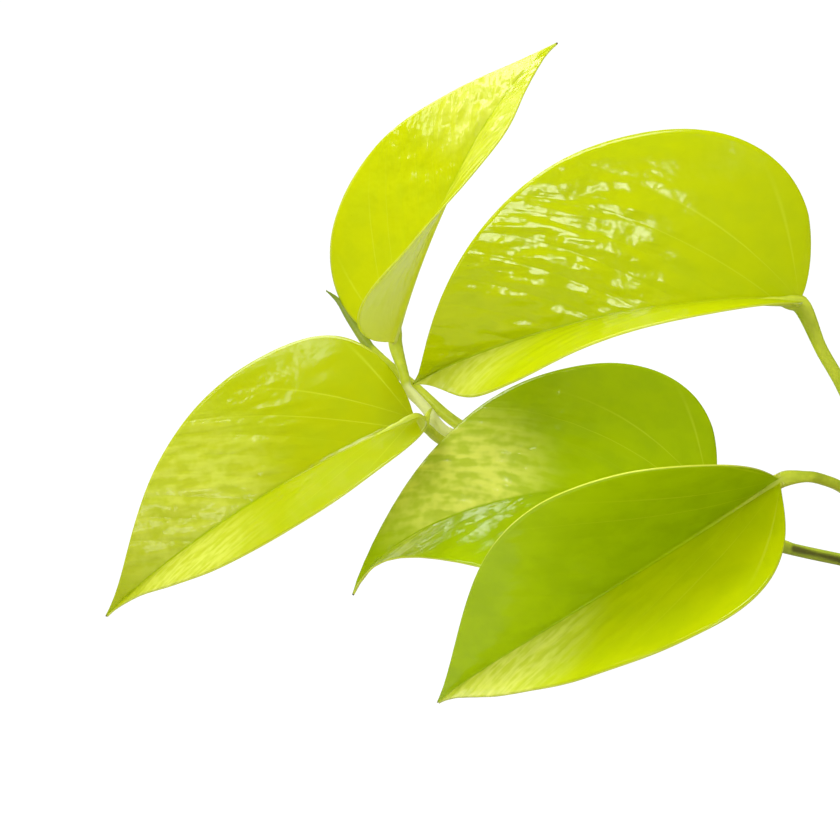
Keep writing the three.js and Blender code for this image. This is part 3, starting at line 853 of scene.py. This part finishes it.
def make_crumbs(feet, count):
    """Crumbs of soil, bark and white grit strewn over the surface, as one mesh."""
    draw = make_draw(7)
    shapes = crumb_shapes()
    points, faces, kinds = [], [], []
    edge = inner_radius(SOIL_LEVEL) - 2.5
    for i in range(count):
        far, turn = edge * math.sqrt((draw() + 1) / 2), math.pi * draw()
        x, y = far * math.cos(turn), far * math.sin(turn)
        size = 0.6 + 1.3 * ((draw() + 1) / 2) ** 3
        kind = 1.0 if draw() > GRIT_FROM else (0.5 if draw() > BARK_FROM else 0.0)
        stretch = 1.9 if kind == 0.5 and draw() > 0.3 else 1.0
        spin = Matrix.Rotation(math.pi * draw(), 3, "Z") @ Matrix.Rotation(0.6 * draw(), 3, "X")
        height = soil_height(x, y, feet) + size * 0.2
        shape, polygons = shapes[i % len(shapes)]
        start = len(points)
        for p in shape:
            placed = spin @ Vector((p.x * stretch, p.y, p.z)) * size
            points.append((Vector((x, y, height)) + placed) * MM)
            kinds.append(kind)
        faces.extend(tuple(start + k for k in polygon) for polygon in polygons)
    mesh = bpy.data.meshes.new("crumbs")
    mesh.from_pydata(points, [], faces)
    ob = bpy.data.objects.new("crumbs", mesh)
    bpy.context.collection.objects.link(ob)
    painted(ob, "Kind", kinds)
    return ob


# Node helpers


class Graph:
    """Adds nodes to a node tree and links them."""

    def __init__(self, tree):
        self.tree = tree

    def node(self, kind, inputs=None, **settings):
        """A node of a kind, with settings on it and values or links on its inputs."""
        made = self.tree.nodes.new(kind)
        for key, value in settings.items():
            setattr(made, key, value)
        for key, value in (inputs or {}).items():
            if isinstance(value, bpy.types.NodeSocket):
                self.tree.links.new(value, made.inputs[key])
            else:
                made.inputs[key].default_value = value
        return made

    def math(self, operation, *values):
        """The result of a sum on one or two numbers."""
        return self.node("ShaderNodeMath", dict(enumerate(values)), operation=operation).outputs[0]

    def ramp(self, value, low, high, to_low=0.0, to_high=1.0, kind="SMOOTHSTEP"):
        """A number carried from one range to another, held at its ends."""
        inputs = {"Value": value, "From Min": low, "From Max": high, "To Min": to_low, "To Max": to_high}
        return self.node("ShaderNodeMapRange", inputs, interpolation_type=kind).outputs[0]

    def times(self, a, b):
        """The product of two numbers."""
        return self.math("MULTIPLY", a, b)

    def plus(self, a, b):
        """The sum of two numbers."""
        return self.math("ADD", a, b)

    def blend(self, share, a, b):
        """Two colours mixed by a share."""
        a, b = (c if isinstance(c, bpy.types.NodeSocket) else (*c, 1) for c in (a, b))
        return self.node("ShaderNodeMix", {0: share, 6: a, 7: b}, data_type="RGBA").outputs[2]

    def grain(self, vector, scale, detail=2.0, rough=0.5):
        """A noise value at a scale."""
        inputs = {"Vector": vector, "Scale": scale, "Detail": detail, "Roughness": rough}
        return self.node("ShaderNodeTexNoise", inputs).outputs[0]

    def cells(self, vector, scale):
        """The distance to the middle of the nearest of many scattered cells."""
        return self.node("ShaderNodeTexVoronoi", {"Vector": vector, "Scale": scale}).outputs["Distance"]

    def attribute(self, name):
        """A number painted on the mesh."""
        return self.node("ShaderNodeAttribute", attribute_name=name).outputs["Fac"]

    def place(self):
        """The place on the piece in metres."""
        return self.node("ShaderNodeTexCoord").outputs["Object"]

    def part(self, vector, axis):
        """One coordinate of a vector."""
        return self.node("ShaderNodeSeparateXYZ", {"Vector": vector}).outputs[axis]

    def relief(self, height, strength, depth):
        """Normals of a surface with this height, its depth in millimetres."""
        inputs = {"Strength": strength, "Distance": depth * MM, "Height": height}
        return self.node("ShaderNodeBump", inputs).outputs[0]

    def gloss(self, color, rough, normal, **more):
        """A surface of one colour with its gloss."""
        inputs = {"Base Color": color, "Roughness": rough, "Normal": normal, **more}
        return self.node("ShaderNodeBsdfPrincipled", inputs).outputs[0]

    def mixed(self, share, first, second):
        """Two shaders mixed by a share."""
        return self.node("ShaderNodeMixShader", {0: share, 1: first, 2: second}).outputs[0]

    def lit_through(self, share, gloss, color, normal):
        """A surface that also lets a share of the light through."""
        through = self.node("ShaderNodeBsdfTranslucent", {"Color": color, "Normal": normal}).outputs[0]
        return self.mixed(share, gloss, through)


def new_material(name):
    """An empty material, its graph and its output's surface socket."""
    material = bpy.data.materials.new(name)
    material.use_nodes = True
    material.node_tree.nodes.clear()
    graph = Graph(material.node_tree)
    output = graph.node("ShaderNodeOutputMaterial")
    return material, graph, output.inputs["Surface"]


def new_group(name, inputs, outputs):
    """A shader node group with named inputs and outputs: its tree, graph, input sockets and output node."""
    tree = bpy.data.node_groups.new(name, "ShaderNodeTree")
    for socket, kind, default in inputs:
        made = tree.interface.new_socket(name=socket, in_out="INPUT", socket_type=kind)
        if default is not None:
            made.default_value = default
    for socket, kind in outputs:
        tree.interface.new_socket(name=socket, in_out="OUTPUT", socket_type=kind)
    graph = Graph(tree)
    entry = graph.node("NodeGroupInput")
    exit_node = graph.node("NodeGroupOutput")
    return tree, graph, entry.outputs, exit_node.inputs


def leaf_markings():
    """The group that draws a blade's midrib, side veins and crinkles from its markings."""
    tree, graph, given, out = new_group(
        "Leaf markings",
        [
            ("Markings", "NodeSocketVector", None),
            ("Side Veins", "NodeSocketFloat", 10.0),
            ("Vein Width", "NodeSocketFloat", 0.035),
        ],
        [
            ("Midrib", "NodeSocketFloat"),
            ("Veins", "NodeSocketFloat"),
            ("Grooves", "NodeSocketFloat"),
            ("Crinkle", "NodeSocketFloat"),
            ("Mottle", "NodeSocketFloat"),
        ],
    )
    signed = graph.math("SUBTRACT", graph.part(given["Markings"], "X"), 0.5)
    y = graph.math("ABSOLUTE", signed)
    x = graph.part(given["Markings"], "Y")
    # Midrib: a line that thins to the tip
    width = graph.ramp(x, 0.0, 1.0, 0.008, 0.002, "LINEAR")
    midrib = graph.math("SUBTRACT", 1.0, graph.ramp(graph.math("DIVIDE", y, width), 0.2, 1.0))
    # Side veins: the same lanes as the quilting, with the fan of basal veins behind the first
    arch = graph.times(graph.math("POWER", y, 4.0), VEIN_ARCH)
    reach = graph.plus(graph.plus(graph.times(y, VEIN_SLOPE), arch), 0.0001)
    run = graph.math("SUBTRACT", x, reach)
    behind = graph.math("DIVIDE", graph.times(graph.math("MINIMUM", run, 0.0), BASAL_SPREAD), reach)
    fanned = graph.plus(graph.math("MAXIMUM", run, 0.0), graph.math("MAXIMUM", behind, FAN_END))
    right = graph.math("GREATER_THAN", 0.0, signed)
    side = graph.ramp(right, 0.0, 1.0, LEFT_LANES, RIGHT_LANES, "LINEAR")
    lane = graph.plus(graph.times(fanned, given["Side Veins"]), side)
    off = graph.math("PINGPONG", lane, 0.5)
    line = graph.math("SUBTRACT", 1.0, graph.ramp(off, 0.0, given["Vein Width"]))
    early = graph.times(graph.ramp(fanned, 0.02, 0.2, 1.0, 0.0), graph.ramp(fanned, -0.26, -0.1))
    inner = graph.ramp(y, 0.14, 0.34, 1.0, 0.0)
    veins = graph.times(graph.times(line, early), inner)
    grooves = graph.math("SUBTRACT", 1.0, graph.ramp(off, 0.0, 0.09))
    grooves = graph.times(grooves, graph.ramp(y, 0.1, 0.36, 1.0, 0.1))
    # Crinkles: drawn out along the lanes, then finer ones that break up the gloss
    flow = graph.node("ShaderNodeCombineXYZ", {"X": lane, "Y": graph.times(signed, 10.0)}).outputs[0]
    coarse = graph.grain(flow, 2.4, 1.0, 0.4)
    middle = graph.grain(given["Markings"], 40.0, 1.0, 0.4)
    fine = graph.grain(given["Markings"], 150.0, 1.0, 0.5)
    crinkle = graph.plus(graph.times(coarse, 1.3), graph.times(middle, 0.8))
    crinkle = graph.plus(crinkle, graph.times(fine, 0.05))
    mottle = graph.grain(given["Markings"], 11.0, 4.0, 0.6)
    for value, socket in zip((midrib, veins, grooves, crinkle, mottle), out):
        tree.links.new(value, socket)
    return tree


def leaf_material(look, shape):
    """Glossy chartreuse blade that lets light through."""
    material, graph, surface = new_material("Neon leaf")
    markings = graph.node("ShaderNodeUVMap", uv_map="Markings").outputs[0]
    group = graph.node("ShaderNodeGroup", node_tree=leaf_markings())
    graph.tree.links.new(markings, group.inputs["Markings"])
    group.inputs["Side Veins"].default_value = shape.side_veins
    marks = group.outputs
    under = graph.attribute("Underside")
    age = graph.attribute("Age")
    along = graph.part(markings, "Y")
    tone = graph.attribute("PaintedShade")
    quilt = graph.attribute("Quilt")
    fresh = graph.blend(age, look.leaf_color, look.leaf_old)
    # Painted shade: tone darkens a blade towards a duller colour
    fresh = graph.blend(graph.times(tone, 0.5), fresh, look.painted_shade_color)
    # Painted highlight: pale blotches drawn into the colour where the gloss glares, broken up by the crinkles
    painted_highlight = graph.attribute("PaintedHighlight")
    highlight_blotches = graph.ramp(marks["Crinkle"], 0.82, 1.34, 0.35, 0.95)
    painted_highlight = graph.times(painted_highlight, highlight_blotches)
    mottle = graph.times(graph.ramp(marks["Mottle"], 0.4, 0.62), graph.ramp(age, 0.0, 1.0, 0.12, 0.42))
    fresh = graph.blend(mottle, fresh, look.leaf_deep_and_shade)
    # Painted shade: the creases along the side veins darkened a little
    fresh = graph.blend(graph.times(marks["Grooves"], 0.05), fresh, look.leaf_deep_and_shade)
    fresh = graph.blend(painted_highlight, fresh, look.painted_highlight_color)
    fresh = graph.blend(graph.times(marks["Veins"], 0.42), fresh, look.vein_color)
    pale_rib = graph.times(marks["Midrib"], graph.ramp(along, 0.0, 0.3, 0.6, 0.0))
    fresh = graph.blend(pale_rib, fresh, look.vein_color)
    # Painted shade: the midrib darkened from the middle to the tip, as shade in its groove
    rib_groove_shade = graph.times(marks["Midrib"], graph.ramp(along, 0.1, 0.5, 0.0, 0.4))
    fresh = graph.blend(rib_groove_shade, fresh, look.leaf_deep_and_shade)
    # The underside's own paler colour, made brighter still as painted light coming through the blade, and its
    # paler keel
    paler_and_lit = graph.blend(graph.times(marks["Midrib"], 0.6), look.pale_and_lit_under_color, look.keel_color)
    below = graph.blend(under, fresh, paler_and_lit)
    # Painted light: the thin margin drawn paler, as light shining through it
    edge = graph.times(graph.ramp(under, 0.02, 0.3), graph.ramp(under, 0.98, 0.7))
    lit_rimmed = graph.blend(graph.times(edge, 0.7), below, look.rim_color)
    specks = graph.cells(markings, 26.0)
    speck = graph.times(graph.ramp(specks, 0.05, 0.02), graph.math("GREATER_THAN", marks["Mottle"], 0.62))
    spotted = graph.blend(graph.times(speck, 0.7), lit_rimmed, look.speck_color)
    tip = graph.ramp(along, 0.99, 0.998)
    color = graph.blend(tip, spotted, look.tip_color)
    rough = graph.ramp(marks["Mottle"], 0.3, 0.7, look.leaf_roughness, look.leaf_roughness + 0.05)
    height = graph.math("SUBTRACT", marks["Crinkle"], graph.times(marks["Grooves"], 0.12))
    height = graph.times(height, quilt)
    bump = graph.relief(height, 1.0, 0.3)
    gloss = graph.gloss(color, rough, bump, IOR=1.46)
    lit = graph.blend(0.5, color, look.through_color)
    graph.tree.links.new(graph.lit_through(look.translucency, gloss, lit, bump), surface)
    return material


def stem_material(look):
    """Green stem with pale sheaths, brown node scars and a fine grain."""
    material, graph, surface = new_material("Pothos stem")
    place = graph.place()
    pale = graph.attribute("Pale")
    scar = graph.attribute("Scar")
    old = graph.attribute("Old")
    mottle = graph.ramp(graph.grain(place, 160.0, 3.0, 0.6), 0.35, 0.65)
    green = graph.blend(mottle, look.stem_color, look.stem_deep)
    aged = graph.blend(old, green, look.stem_old)
    sheathed = graph.blend(pale, aged, look.sheath_color)
    scarred = graph.blend(graph.times(scar, 0.8), sheathed, look.scar_color)
    fine = graph.grain(place, 900.0, 2.0, 0.5)
    bump = graph.relief(fine, 0.35, 0.15)
    rough = graph.ramp(mottle, 0.0, 1.0, 0.36, 0.46)
    gloss = graph.gloss(scarred, rough, bump, IOR=1.45)
    graph.tree.links.new(graph.lit_through(0.15, gloss, scarred, bump), surface)
    return material


def clay_material(look):
    """Unglazed terracotta with grain, throwing lines, a moist band and salt bloom."""
    material, graph, surface = new_material("Terracotta")
    place = graph.place()
    height = graph.part(place, "Z")
    clouds = graph.ramp(graph.grain(place, 22.0, 4.0, 0.6), 0.35, 0.68)
    clay = graph.blend(clouds, look.clay_color, look.clay_pale)
    grains = graph.ramp(graph.grain(place, 1400.0, 2.0, 0.6), 0.42, 0.7)
    clay = graph.blend(graph.times(grains, 0.25), clay, look.clay_dark)
    uneven = graph.times(graph.math("SUBTRACT", graph.grain(place, 30.0, 3.0, 0.6), 0.5), 0.05)
    level = graph.plus(height, uneven)
    moist = graph.times(graph.ramp(level, 0.062, 0.045), graph.ramp(level, -0.01, 0.012))
    clay = graph.blend(graph.times(moist, 0.35), clay, look.clay_dark)
    salty = graph.times(graph.ramp(level, 0.055, 0.068), graph.ramp(level, 0.088, 0.074))
    foot = graph.ramp(level, 0.016, 0.002)
    crust = graph.ramp(graph.grain(place, 75.0, 6.0, 0.7), 0.48, 0.66)
    bloom = graph.times(graph.math("MAXIMUM", salty, foot), crust)
    clay = graph.blend(graph.times(bloom, 0.55), clay, look.salt_color)
    stretched = graph.node("ShaderNodeMapping", {"Vector": place, "Scale": (6.0, 6.0, 260.0)}).outputs[0]
    lines = graph.grain(stretched, 1.0, 3.0, 0.55)
    relief = graph.plus(graph.times(lines, 0.7), graph.times(grains, 0.25))
    pits = graph.ramp(graph.cells(place, 420.0), 0.25, 0.08)
    relief = graph.math("SUBTRACT", relief, graph.times(pits, 0.4))
    bump = graph.relief(relief, 0.6, 0.5)
    rough = graph.ramp(moist, 0.0, 1.0, 0.9, 0.72)
    graph.tree.links.new(graph.gloss(clay, rough, bump), surface)
    return material


def soil_material(look):
    """Dark crumbly potting soil with bark and white grit."""
    material, graph, surface = new_material("Potting soil")
    place = graph.place()
    kind = graph.attribute("Kind")
    clods = graph.ramp(graph.grain(place, 260.0, 4.0, 0.65), 0.35, 0.65)
    soil = graph.blend(clods, look.soil_color, look.soil_pale)
    soil = graph.blend(graph.ramp(kind, 0.3, 0.5), soil, look.bark_color)
    soil = graph.blend(graph.ramp(kind, 0.7, 0.95), soil, look.grit_color)
    fine = graph.grain(place, 1500.0, 3.0, 0.6)
    soil = graph.blend(graph.times(fine, 0.35), soil, look.soil_color)
    relief = graph.plus(graph.times(clods, 0.6), fine)
    bump = graph.relief(relief, 0.8, 0.6)
    rough = graph.ramp(clods, 0.0, 1.0, 0.82, 0.97)
    graph.tree.links.new(graph.gloss(soil, rough, bump), surface)
    return material


# Settings


def colour(name, description, default):
    """A colour property."""
    return FloatVectorProperty(
        name=name, description=description, default=default, subtype="COLOR", size=3, min=0.0, max=1.0
    )


def amount(name, description, default, **more):
    """A number property."""
    return FloatProperty(name=name, description=description, default=default, **more)


class PothosShape(bpy.types.PropertyGroup):
    """Sizes of the blades and stems, in millimetres"""

    blade_thickness: amount("Blade Thickness", "Thickness of a blade in millimetres", 0.5, min=0.1, max=0.8)
    quilt_height: amount("Quilt Height", "How far a blade bulges between its side veins, in millimetres", 0.7)
    groove_depth: amount("Groove Depth", "Depth of the groove over the midrib, in millimetres", 0.3)
    wave_height: amount("Wave Height", "Slow unevenness of a blade, in millimetres", 0.45)
    side_veins: amount("Side Veins", "How many side veins leave the midrib on each side", 10.0)
    keel_width: amount("Keel Width", "Half width of the midrib's keel at the base, in millimetres", 1.3)
    keel_height: amount("Keel Height", "Height of the midrib's keel at the base, in millimetres", 0.9)
    column_ease: amount("Column Ease", "How much closer a blade's columns lie near its midrib", 1.3)
    crumbs: IntProperty(name="Crumbs", description="How many crumbs lie on the soil", default=1500)
    stem_voxel: amount("Stem Voxel", "Size of the cells that grow the stems together, in millimetres", 0.4)


class PothosLook(bpy.types.PropertyGroup):
    """Colours and finishes"""

    leaf_color: colour("Leaf", "Fresh leaf colour", (0.64, 0.695, 0.0005))
    leaf_old: colour("Old Leaf", "Colour of the oldest leaves", (0.42, 0.60, 0.0008))
    # Darker colour of the leaf, for its own mottle and for painted shade in the creases and along the midrib
    leaf_deep_and_shade: colour("Deep Leaf", "Darker parts of the leaf", (0.32, 0.48, 0.0005))
    # Colour that painted shade darkens a blade towards
    painted_shade_color: colour("Shade", "Duller colour that the tone of a blade turns to", (0.38, 0.42, 0.0005))
    # Colour of the painted highlight drawn where the gloss glares
    painted_highlight_color: colour("PaintedHighlight", "Paler blotches of a blade", (0.93, 0.95, 0.22))
    vein_color: colour("Vein", "Midrib and side veins near the base", (0.78, 0.84, 0.06))
    keel_color: colour("Keel", "Midrib under the leaf", (0.90, 0.93, 0.38))
    # The underside's own paler colour, made brighter as painted light coming through the blade
    pale_and_lit_under_color: colour("Underside", "Pale underside of the leaf", (0.95, 0.97, 0.08))
    # Colour of the painted light shining through the thin margin
    rim_color: colour("LitRim", "Thin bright margin", (0.80, 0.86, 0.12))
    speck_color: colour("Specks", "Small dark specks on a blade", (0.10, 0.12, 0.01))
    tip_color: colour("Tip", "Dry point of a blade", (0.09, 0.055, 0.015))
    through_color: colour("Light Through", "Light that comes through the leaf", (0.80, 0.88, 0.01))
    stem_color: colour("Stem", "Fresh stem", (0.72, 0.80, 0.05))
    stem_deep: colour("Deep Stem", "Darker parts of the stem", (0.58, 0.68, 0.03))
    stem_old: colour("Old Stem", "Old stem near the pot", (0.26, 0.35, 0.03))
    sheath_color: colour("Sheath", "Pale sheath", (0.95, 0.98, 0.5))
    scar_color: colour("Scar", "Brown scar at a node", (0.055, 0.032, 0.012))
    clay_color: colour("Clay", "Terracotta", (0.42, 0.145, 0.062))
    clay_pale: colour("Pale Clay", "Drier parts of the terracotta", (0.53, 0.21, 0.105))
    clay_dark: colour("Dark Clay", "Moist parts and grains of the terracotta", (0.25, 0.075, 0.032))
    salt_color: colour("Salt", "White bloom on the clay", (0.66, 0.55, 0.45))
    soil_color: colour("Soil", "Moist soil", (0.022, 0.014, 0.009))
    soil_pale: colour("Pale Soil", "Drier soil", (0.065, 0.042, 0.027))
    bark_color: colour("Bark", "Bits of bark", (0.13, 0.065, 0.03))
    grit_color: colour("Grit", "White grit in the soil", (0.62, 0.60, 0.54))
    leaf_roughness: amount("Leaf Roughness", "Roughness of the leaf's gloss", 0.12, subtype="FACTOR")
    translucency: amount("Translucency", "Share of light that passes the leaf", 0.35, subtype="FACTOR")


class PothosStage(bpy.types.PropertyGroup):
    """Camera, light and floor"""

    target: FloatVectorProperty(
        name="Target",
        description="What the camera looks at",
        default=(-0.196, 0.0, 0.160),
        subtype="TRANSLATION",
    )
    elevation: amount("Elevation", "Camera's height angle", math.radians(14), subtype="ANGLE")
    distance: amount("Distance", "Camera's distance from its target", 0.655, unit="LENGTH")
    lens: amount("Lens", "Focal length in millimetres", 100.0)
    key_light: amount("Key Light", "Brightness of the soft boxes on the left", 7.4)
    screen_light: amount("Screen", "Brightness of the screen behind", 1.0)
    fill_light: amount("Fill Light", "Brightness of the soft box on the right", 2.2)
    sky: amount("Sky", "Brightness of the light all round", 0.74)
    sky_gloss: amount("Sky in Gloss", "The same, as the gloss mirrors it", 0.02)
    sky_seen: amount("Seen Sky", "The same, as the eye sees it", 1.03)
    floor_glow: amount("Floor Glow", "Brightness of the floor as the eye sees it", 1.13)


# Operators


def shared_leaf(scene):
    """The leaf material, made once for all blades."""
    return bpy.data.materials.get("Neon leaf") or leaf_material(scene.pothos_look, scene.pothos_shape)


class POTHOS_OT_long_shoot_blades(bpy.types.Operator):
    """Make the five fine blades of the long shoot"""

    bl_idname = "pothos.long_shoot_blades"
    bl_label = "Long Shoot Blades"

    def execute(self, context):
        shape = context.scene.pothos_shape
        material = shared_leaf(context.scene)
        for i, blade in enumerate(SHOOT_BLADES):
            node = f"long_shoot_leaf_{i + 1}"
            make_blade(node, blade, shape, material, 3.7 * i, **SHOOT_GRID)
        return {"FINISHED"}


class POTHOS_OT_ruled_blades(bpy.types.Operator):
    """Make the fine blades of the crown and the vines"""

    bl_idname = "pothos.ruled_blades"
    bl_label = "Crown and Vine Blades"

    def execute(self, context):
        shape = context.scene.pothos_shape
        material = shared_leaf(context.scene)
        for number, plan in enumerate(ruled_plans()):
            for i, blade in enumerate(plan["blades"]):
                node = f"{plan['name']}_leaf_{i + 1}"
                make_blade(node, blade, shape, material, 11.3 * number + 1.9 * i, **RULED_GRID)
        return {"FINISHED"}


class POTHOS_OT_stems(bpy.types.Operator):
    """Make the stems with their petioles, grown together at their nodes"""

    bl_idname = "pothos.stems"
    bl_label = "Stems"

    def execute(self, context):
        shape = context.scene.pothos_shape
        material = bpy.data.materials.get("Pothos stem") or stem_material(context.scene.pothos_look)
        ob = grown_together(long_shoot_rods(), "fine_long_shoot_stem", shape.stem_voxel)
        paint_near(ob, "Pale", [grown_curve(SHEATH, 12)], *SHEATH_PAINT)
        paint_near(ob, "Scar", [grown_curve(SCAR_STREAK, 10)], *STREAK_PAINT)
        aged = [grown_curve(OLD_STRETCH, 12), grown_curve(SHOOT_STEM[:3], 8), grown_curve(SPEAR, 8)]
        paint_near(ob, "Old", aged, *AGED_PAINT)
        dressed(ob, ["long_shoot_stem"], material)
        for plan in ruled_plans():
            voxel = shape.stem_voxel * COARSER_VOXEL
            ob = grown_together(rod_with_petioles(plan), f"fine_{plan['name']}_stem", voxel)
            paint_near(ob, "Old", [plan["stem"][:3]], *FOOT_PAINT)
            paint_near(ob, "Scar", [[node] for node in plan["nodes"]], *SCAR_PAINT)
            dressed(ob, [f"{plan['name']}_stem"], material)
        return {"FINISHED"}


class POTHOS_OT_pot(bpy.types.Operator):
    """Turn the clay pot and bore its drain holes"""

    bl_idname = "pothos.pot"
    bl_label = "Pot"

    def execute(self, context):
        ob = turned("fine_pot", pot_profile(), 144)
        bored(ob)
        only(ob)
        bpy.ops.object.shade_smooth_by_angle(angle=math.radians(32))
        dressed(ob, ["pot"], clay_material(context.scene.pothos_look))
        return {"FINISHED"}


class POTHOS_OT_soil(bpy.types.Operator):
    """Fill the pot with crumbly soil"""

    bl_idname = "pothos.soil"
    bl_label = "Soil"

    def execute(self, context):
        feet = [plan["stem"][0] for plan in ruled_plans()] + [Vector(SHOOT_STEM[0])]
        body = make_soil_top(feet)
        painted(body, "Kind", [0.0] * len(body.data.vertices))
        ob = joined([body, make_crumbs(feet, context.scene.pothos_shape.crumbs)], "fine_soil")
        only(ob)
        bpy.ops.object.shade_smooth_by_angle(angle=math.radians(40))
        dressed(ob, ["soil"], soil_material(context.scene.pothos_look))
        return {"FINISHED"}


class POTHOS_OT_stage(bpy.types.Operator):
    """Set up the floor, the soft light and the camera"""

    bl_idname = "pothos.stage"
    bl_label = "Stage"

    def execute(self, context):
        stage = context.scene.pothos_stage
        make_floor(stage)
        make_sky(context.scene, stage)
        make_lights(stage)
        make_camera(context.scene, stage)
        context.scene.view_settings.view_transform = "Standard"
        return {"FINISHED"}


def make_floor(stage):
    """A plain white floor, seen as white with faint shadows."""
    bpy.ops.mesh.primitive_plane_add(size=40, location=(0, 0, -0.0002))
    floor = bpy.context.active_object
    floor.name = "floor"
    material, graph, surface = new_material("White floor")
    rays = graph.node("ShaderNodeLightPath").outputs
    paper = graph.grain(graph.place(), 300.0)
    shade = graph.ramp(paper, 0.3, 0.7, 0.37, 0.39)
    tone = graph.node("ShaderNodeCombineColor", {"Red": shade, "Green": shade, "Blue": shade}).outputs[0]
    diffuse = graph.node("ShaderNodeBsdfDiffuse", {"Color": tone}).outputs[0]
    glow = graph.node("ShaderNodeEmission", {"Color": (1, 1, 1, 1), "Strength": stage.floor_glow}).outputs[0]
    share = graph.times(rays["Is Camera Ray"], 0.9)
    graph.tree.links.new(graph.mixed(share, diffuse, glow), surface)
    floor.data.materials.append(material)


def make_sky(scene, stage):
    """White all round to the eye, dimmer as a light and dark in the gloss."""
    world = bpy.data.worlds.new("White room")
    world.use_nodes = True
    world.node_tree.nodes.clear()
    graph = Graph(world.node_tree)
    output = graph.node("ShaderNodeOutputWorld")
    rays = graph.node("ShaderNodeLightPath").outputs
    lighting = graph.ramp(rays["Is Glossy Ray"], 0.0, 1.0, stage.sky, stage.sky_gloss, "LINEAR")
    strength = graph.node(
        "ShaderNodeMix", {0: rays["Is Camera Ray"], 2: lighting, 3: stage.sky_seen}, data_type="FLOAT"
    ).outputs[0]
    room = graph.node("ShaderNodeBackground", {"Color": (1, 1, 1, 1), "Strength": strength}).outputs[0]
    world.node_tree.links.new(room, output.inputs["Surface"])
    scene.world = world


def add_softbox(name, target, azimuth, elevation, distance, size, radiance):
    """A soft light that faces a target from an azimuth, 0 in front and minus to the left."""
    turn, lift = math.radians(azimuth), math.radians(elevation)
    away = Vector((math.sin(turn) * math.cos(lift), -math.cos(turn) * math.cos(lift), math.sin(lift)))
    bpy.ops.object.light_add(type="AREA", location=Vector(target) + away * distance)
    lamp = bpy.context.active_object
    lamp.name = name
    lamp.data.shape = "RECTANGLE"
    lamp.data.size, lamp.data.size_y = size
    lamp.data.energy = radiance * math.pi * size[0] * size[1]
    lamp.rotation_euler = (-away).to_track_quat("-Z", "Y").to_euler()
    lamp.visible_camera = False
    return lamp


def make_lights(stage):
    """Soft boxes in front, on the left and above, and a white screen behind."""
    for name, (azimuth, elevation, distance, size, share) in KEY_BOXES.items():
        add_softbox(name, stage.target, azimuth, elevation, distance, size, stage.key_light * share)
    add_softbox("screen", stage.target, -160, 5, 1.6, (1.6, 0.9), stage.screen_light)
    add_softbox("right_box", stage.target, 76, 4, 1.5, (1.0, 0.8), stage.fill_light)


def make_camera(scene, stage):
    """The camera at the photograph's viewing angle."""
    target = Vector(stage.target)
    back = Vector((0, -math.cos(stage.elevation), math.sin(stage.elevation)))
    bpy.ops.object.camera_add(location=target + back * stage.distance)
    camera = bpy.context.active_object
    camera.name = "camera"
    camera.rotation_euler = (math.pi / 2 - stage.elevation, 0, 0)
    camera.data.lens = stage.lens
    camera.data.sensor_width = 36
    camera.data.clip_start = 0.01
    scene.camera = camera


class POTHOS_PT_panel(bpy.types.Panel):
    """Lists the pieces of the potted pothos"""

    bl_label = "Potted Pothos"
    bl_idname = "POTHOS_PT_panel"
    bl_space_type = "VIEW_3D"
    bl_region_type = "UI"
    bl_category = "Pothos"

    def draw(self, context):
        for group in (context.scene.pothos_shape, context.scene.pothos_look, context.scene.pothos_stage):
            box = self.layout.box()
            for name in group.__annotations__:
                box.prop(group, name)
        for operator in OPERATORS:
            self.layout.operator(operator.bl_idname)


OPERATORS = (
    POTHOS_OT_long_shoot_blades,
    POTHOS_OT_ruled_blades,
    POTHOS_OT_stems,
    POTHOS_OT_pot,
    POTHOS_OT_soil,
    POTHOS_OT_stage,
)
GROUPS = {"pothos_shape": PothosShape, "pothos_look": PothosLook, "pothos_stage": PothosStage}
CLASSES = (*GROUPS.values(), *OPERATORS, POTHOS_PT_panel)


def register():
    for cls in CLASSES:
        bpy.utils.register_class(cls)
    for name, cls in GROUPS.items():
        setattr(bpy.types.Scene, name, PointerProperty(type=cls))


def unregister():
    for name in GROUPS:
        delattr(bpy.types.Scene, name)
    for cls in reversed(CLASSES):
        bpy.utils.unregister_class(cls)


def main():
    """Makes every piece and the stage."""
    register()
    bpy.ops.pothos.long_shoot_blades()
    bpy.ops.pothos.ruled_blades()
    bpy.ops.pothos.stems()
    bpy.ops.pothos.pot()
    bpy.ops.pothos.soil()
    bpy.ops.pothos.stage()


if __name__ == "__main__":
    main()
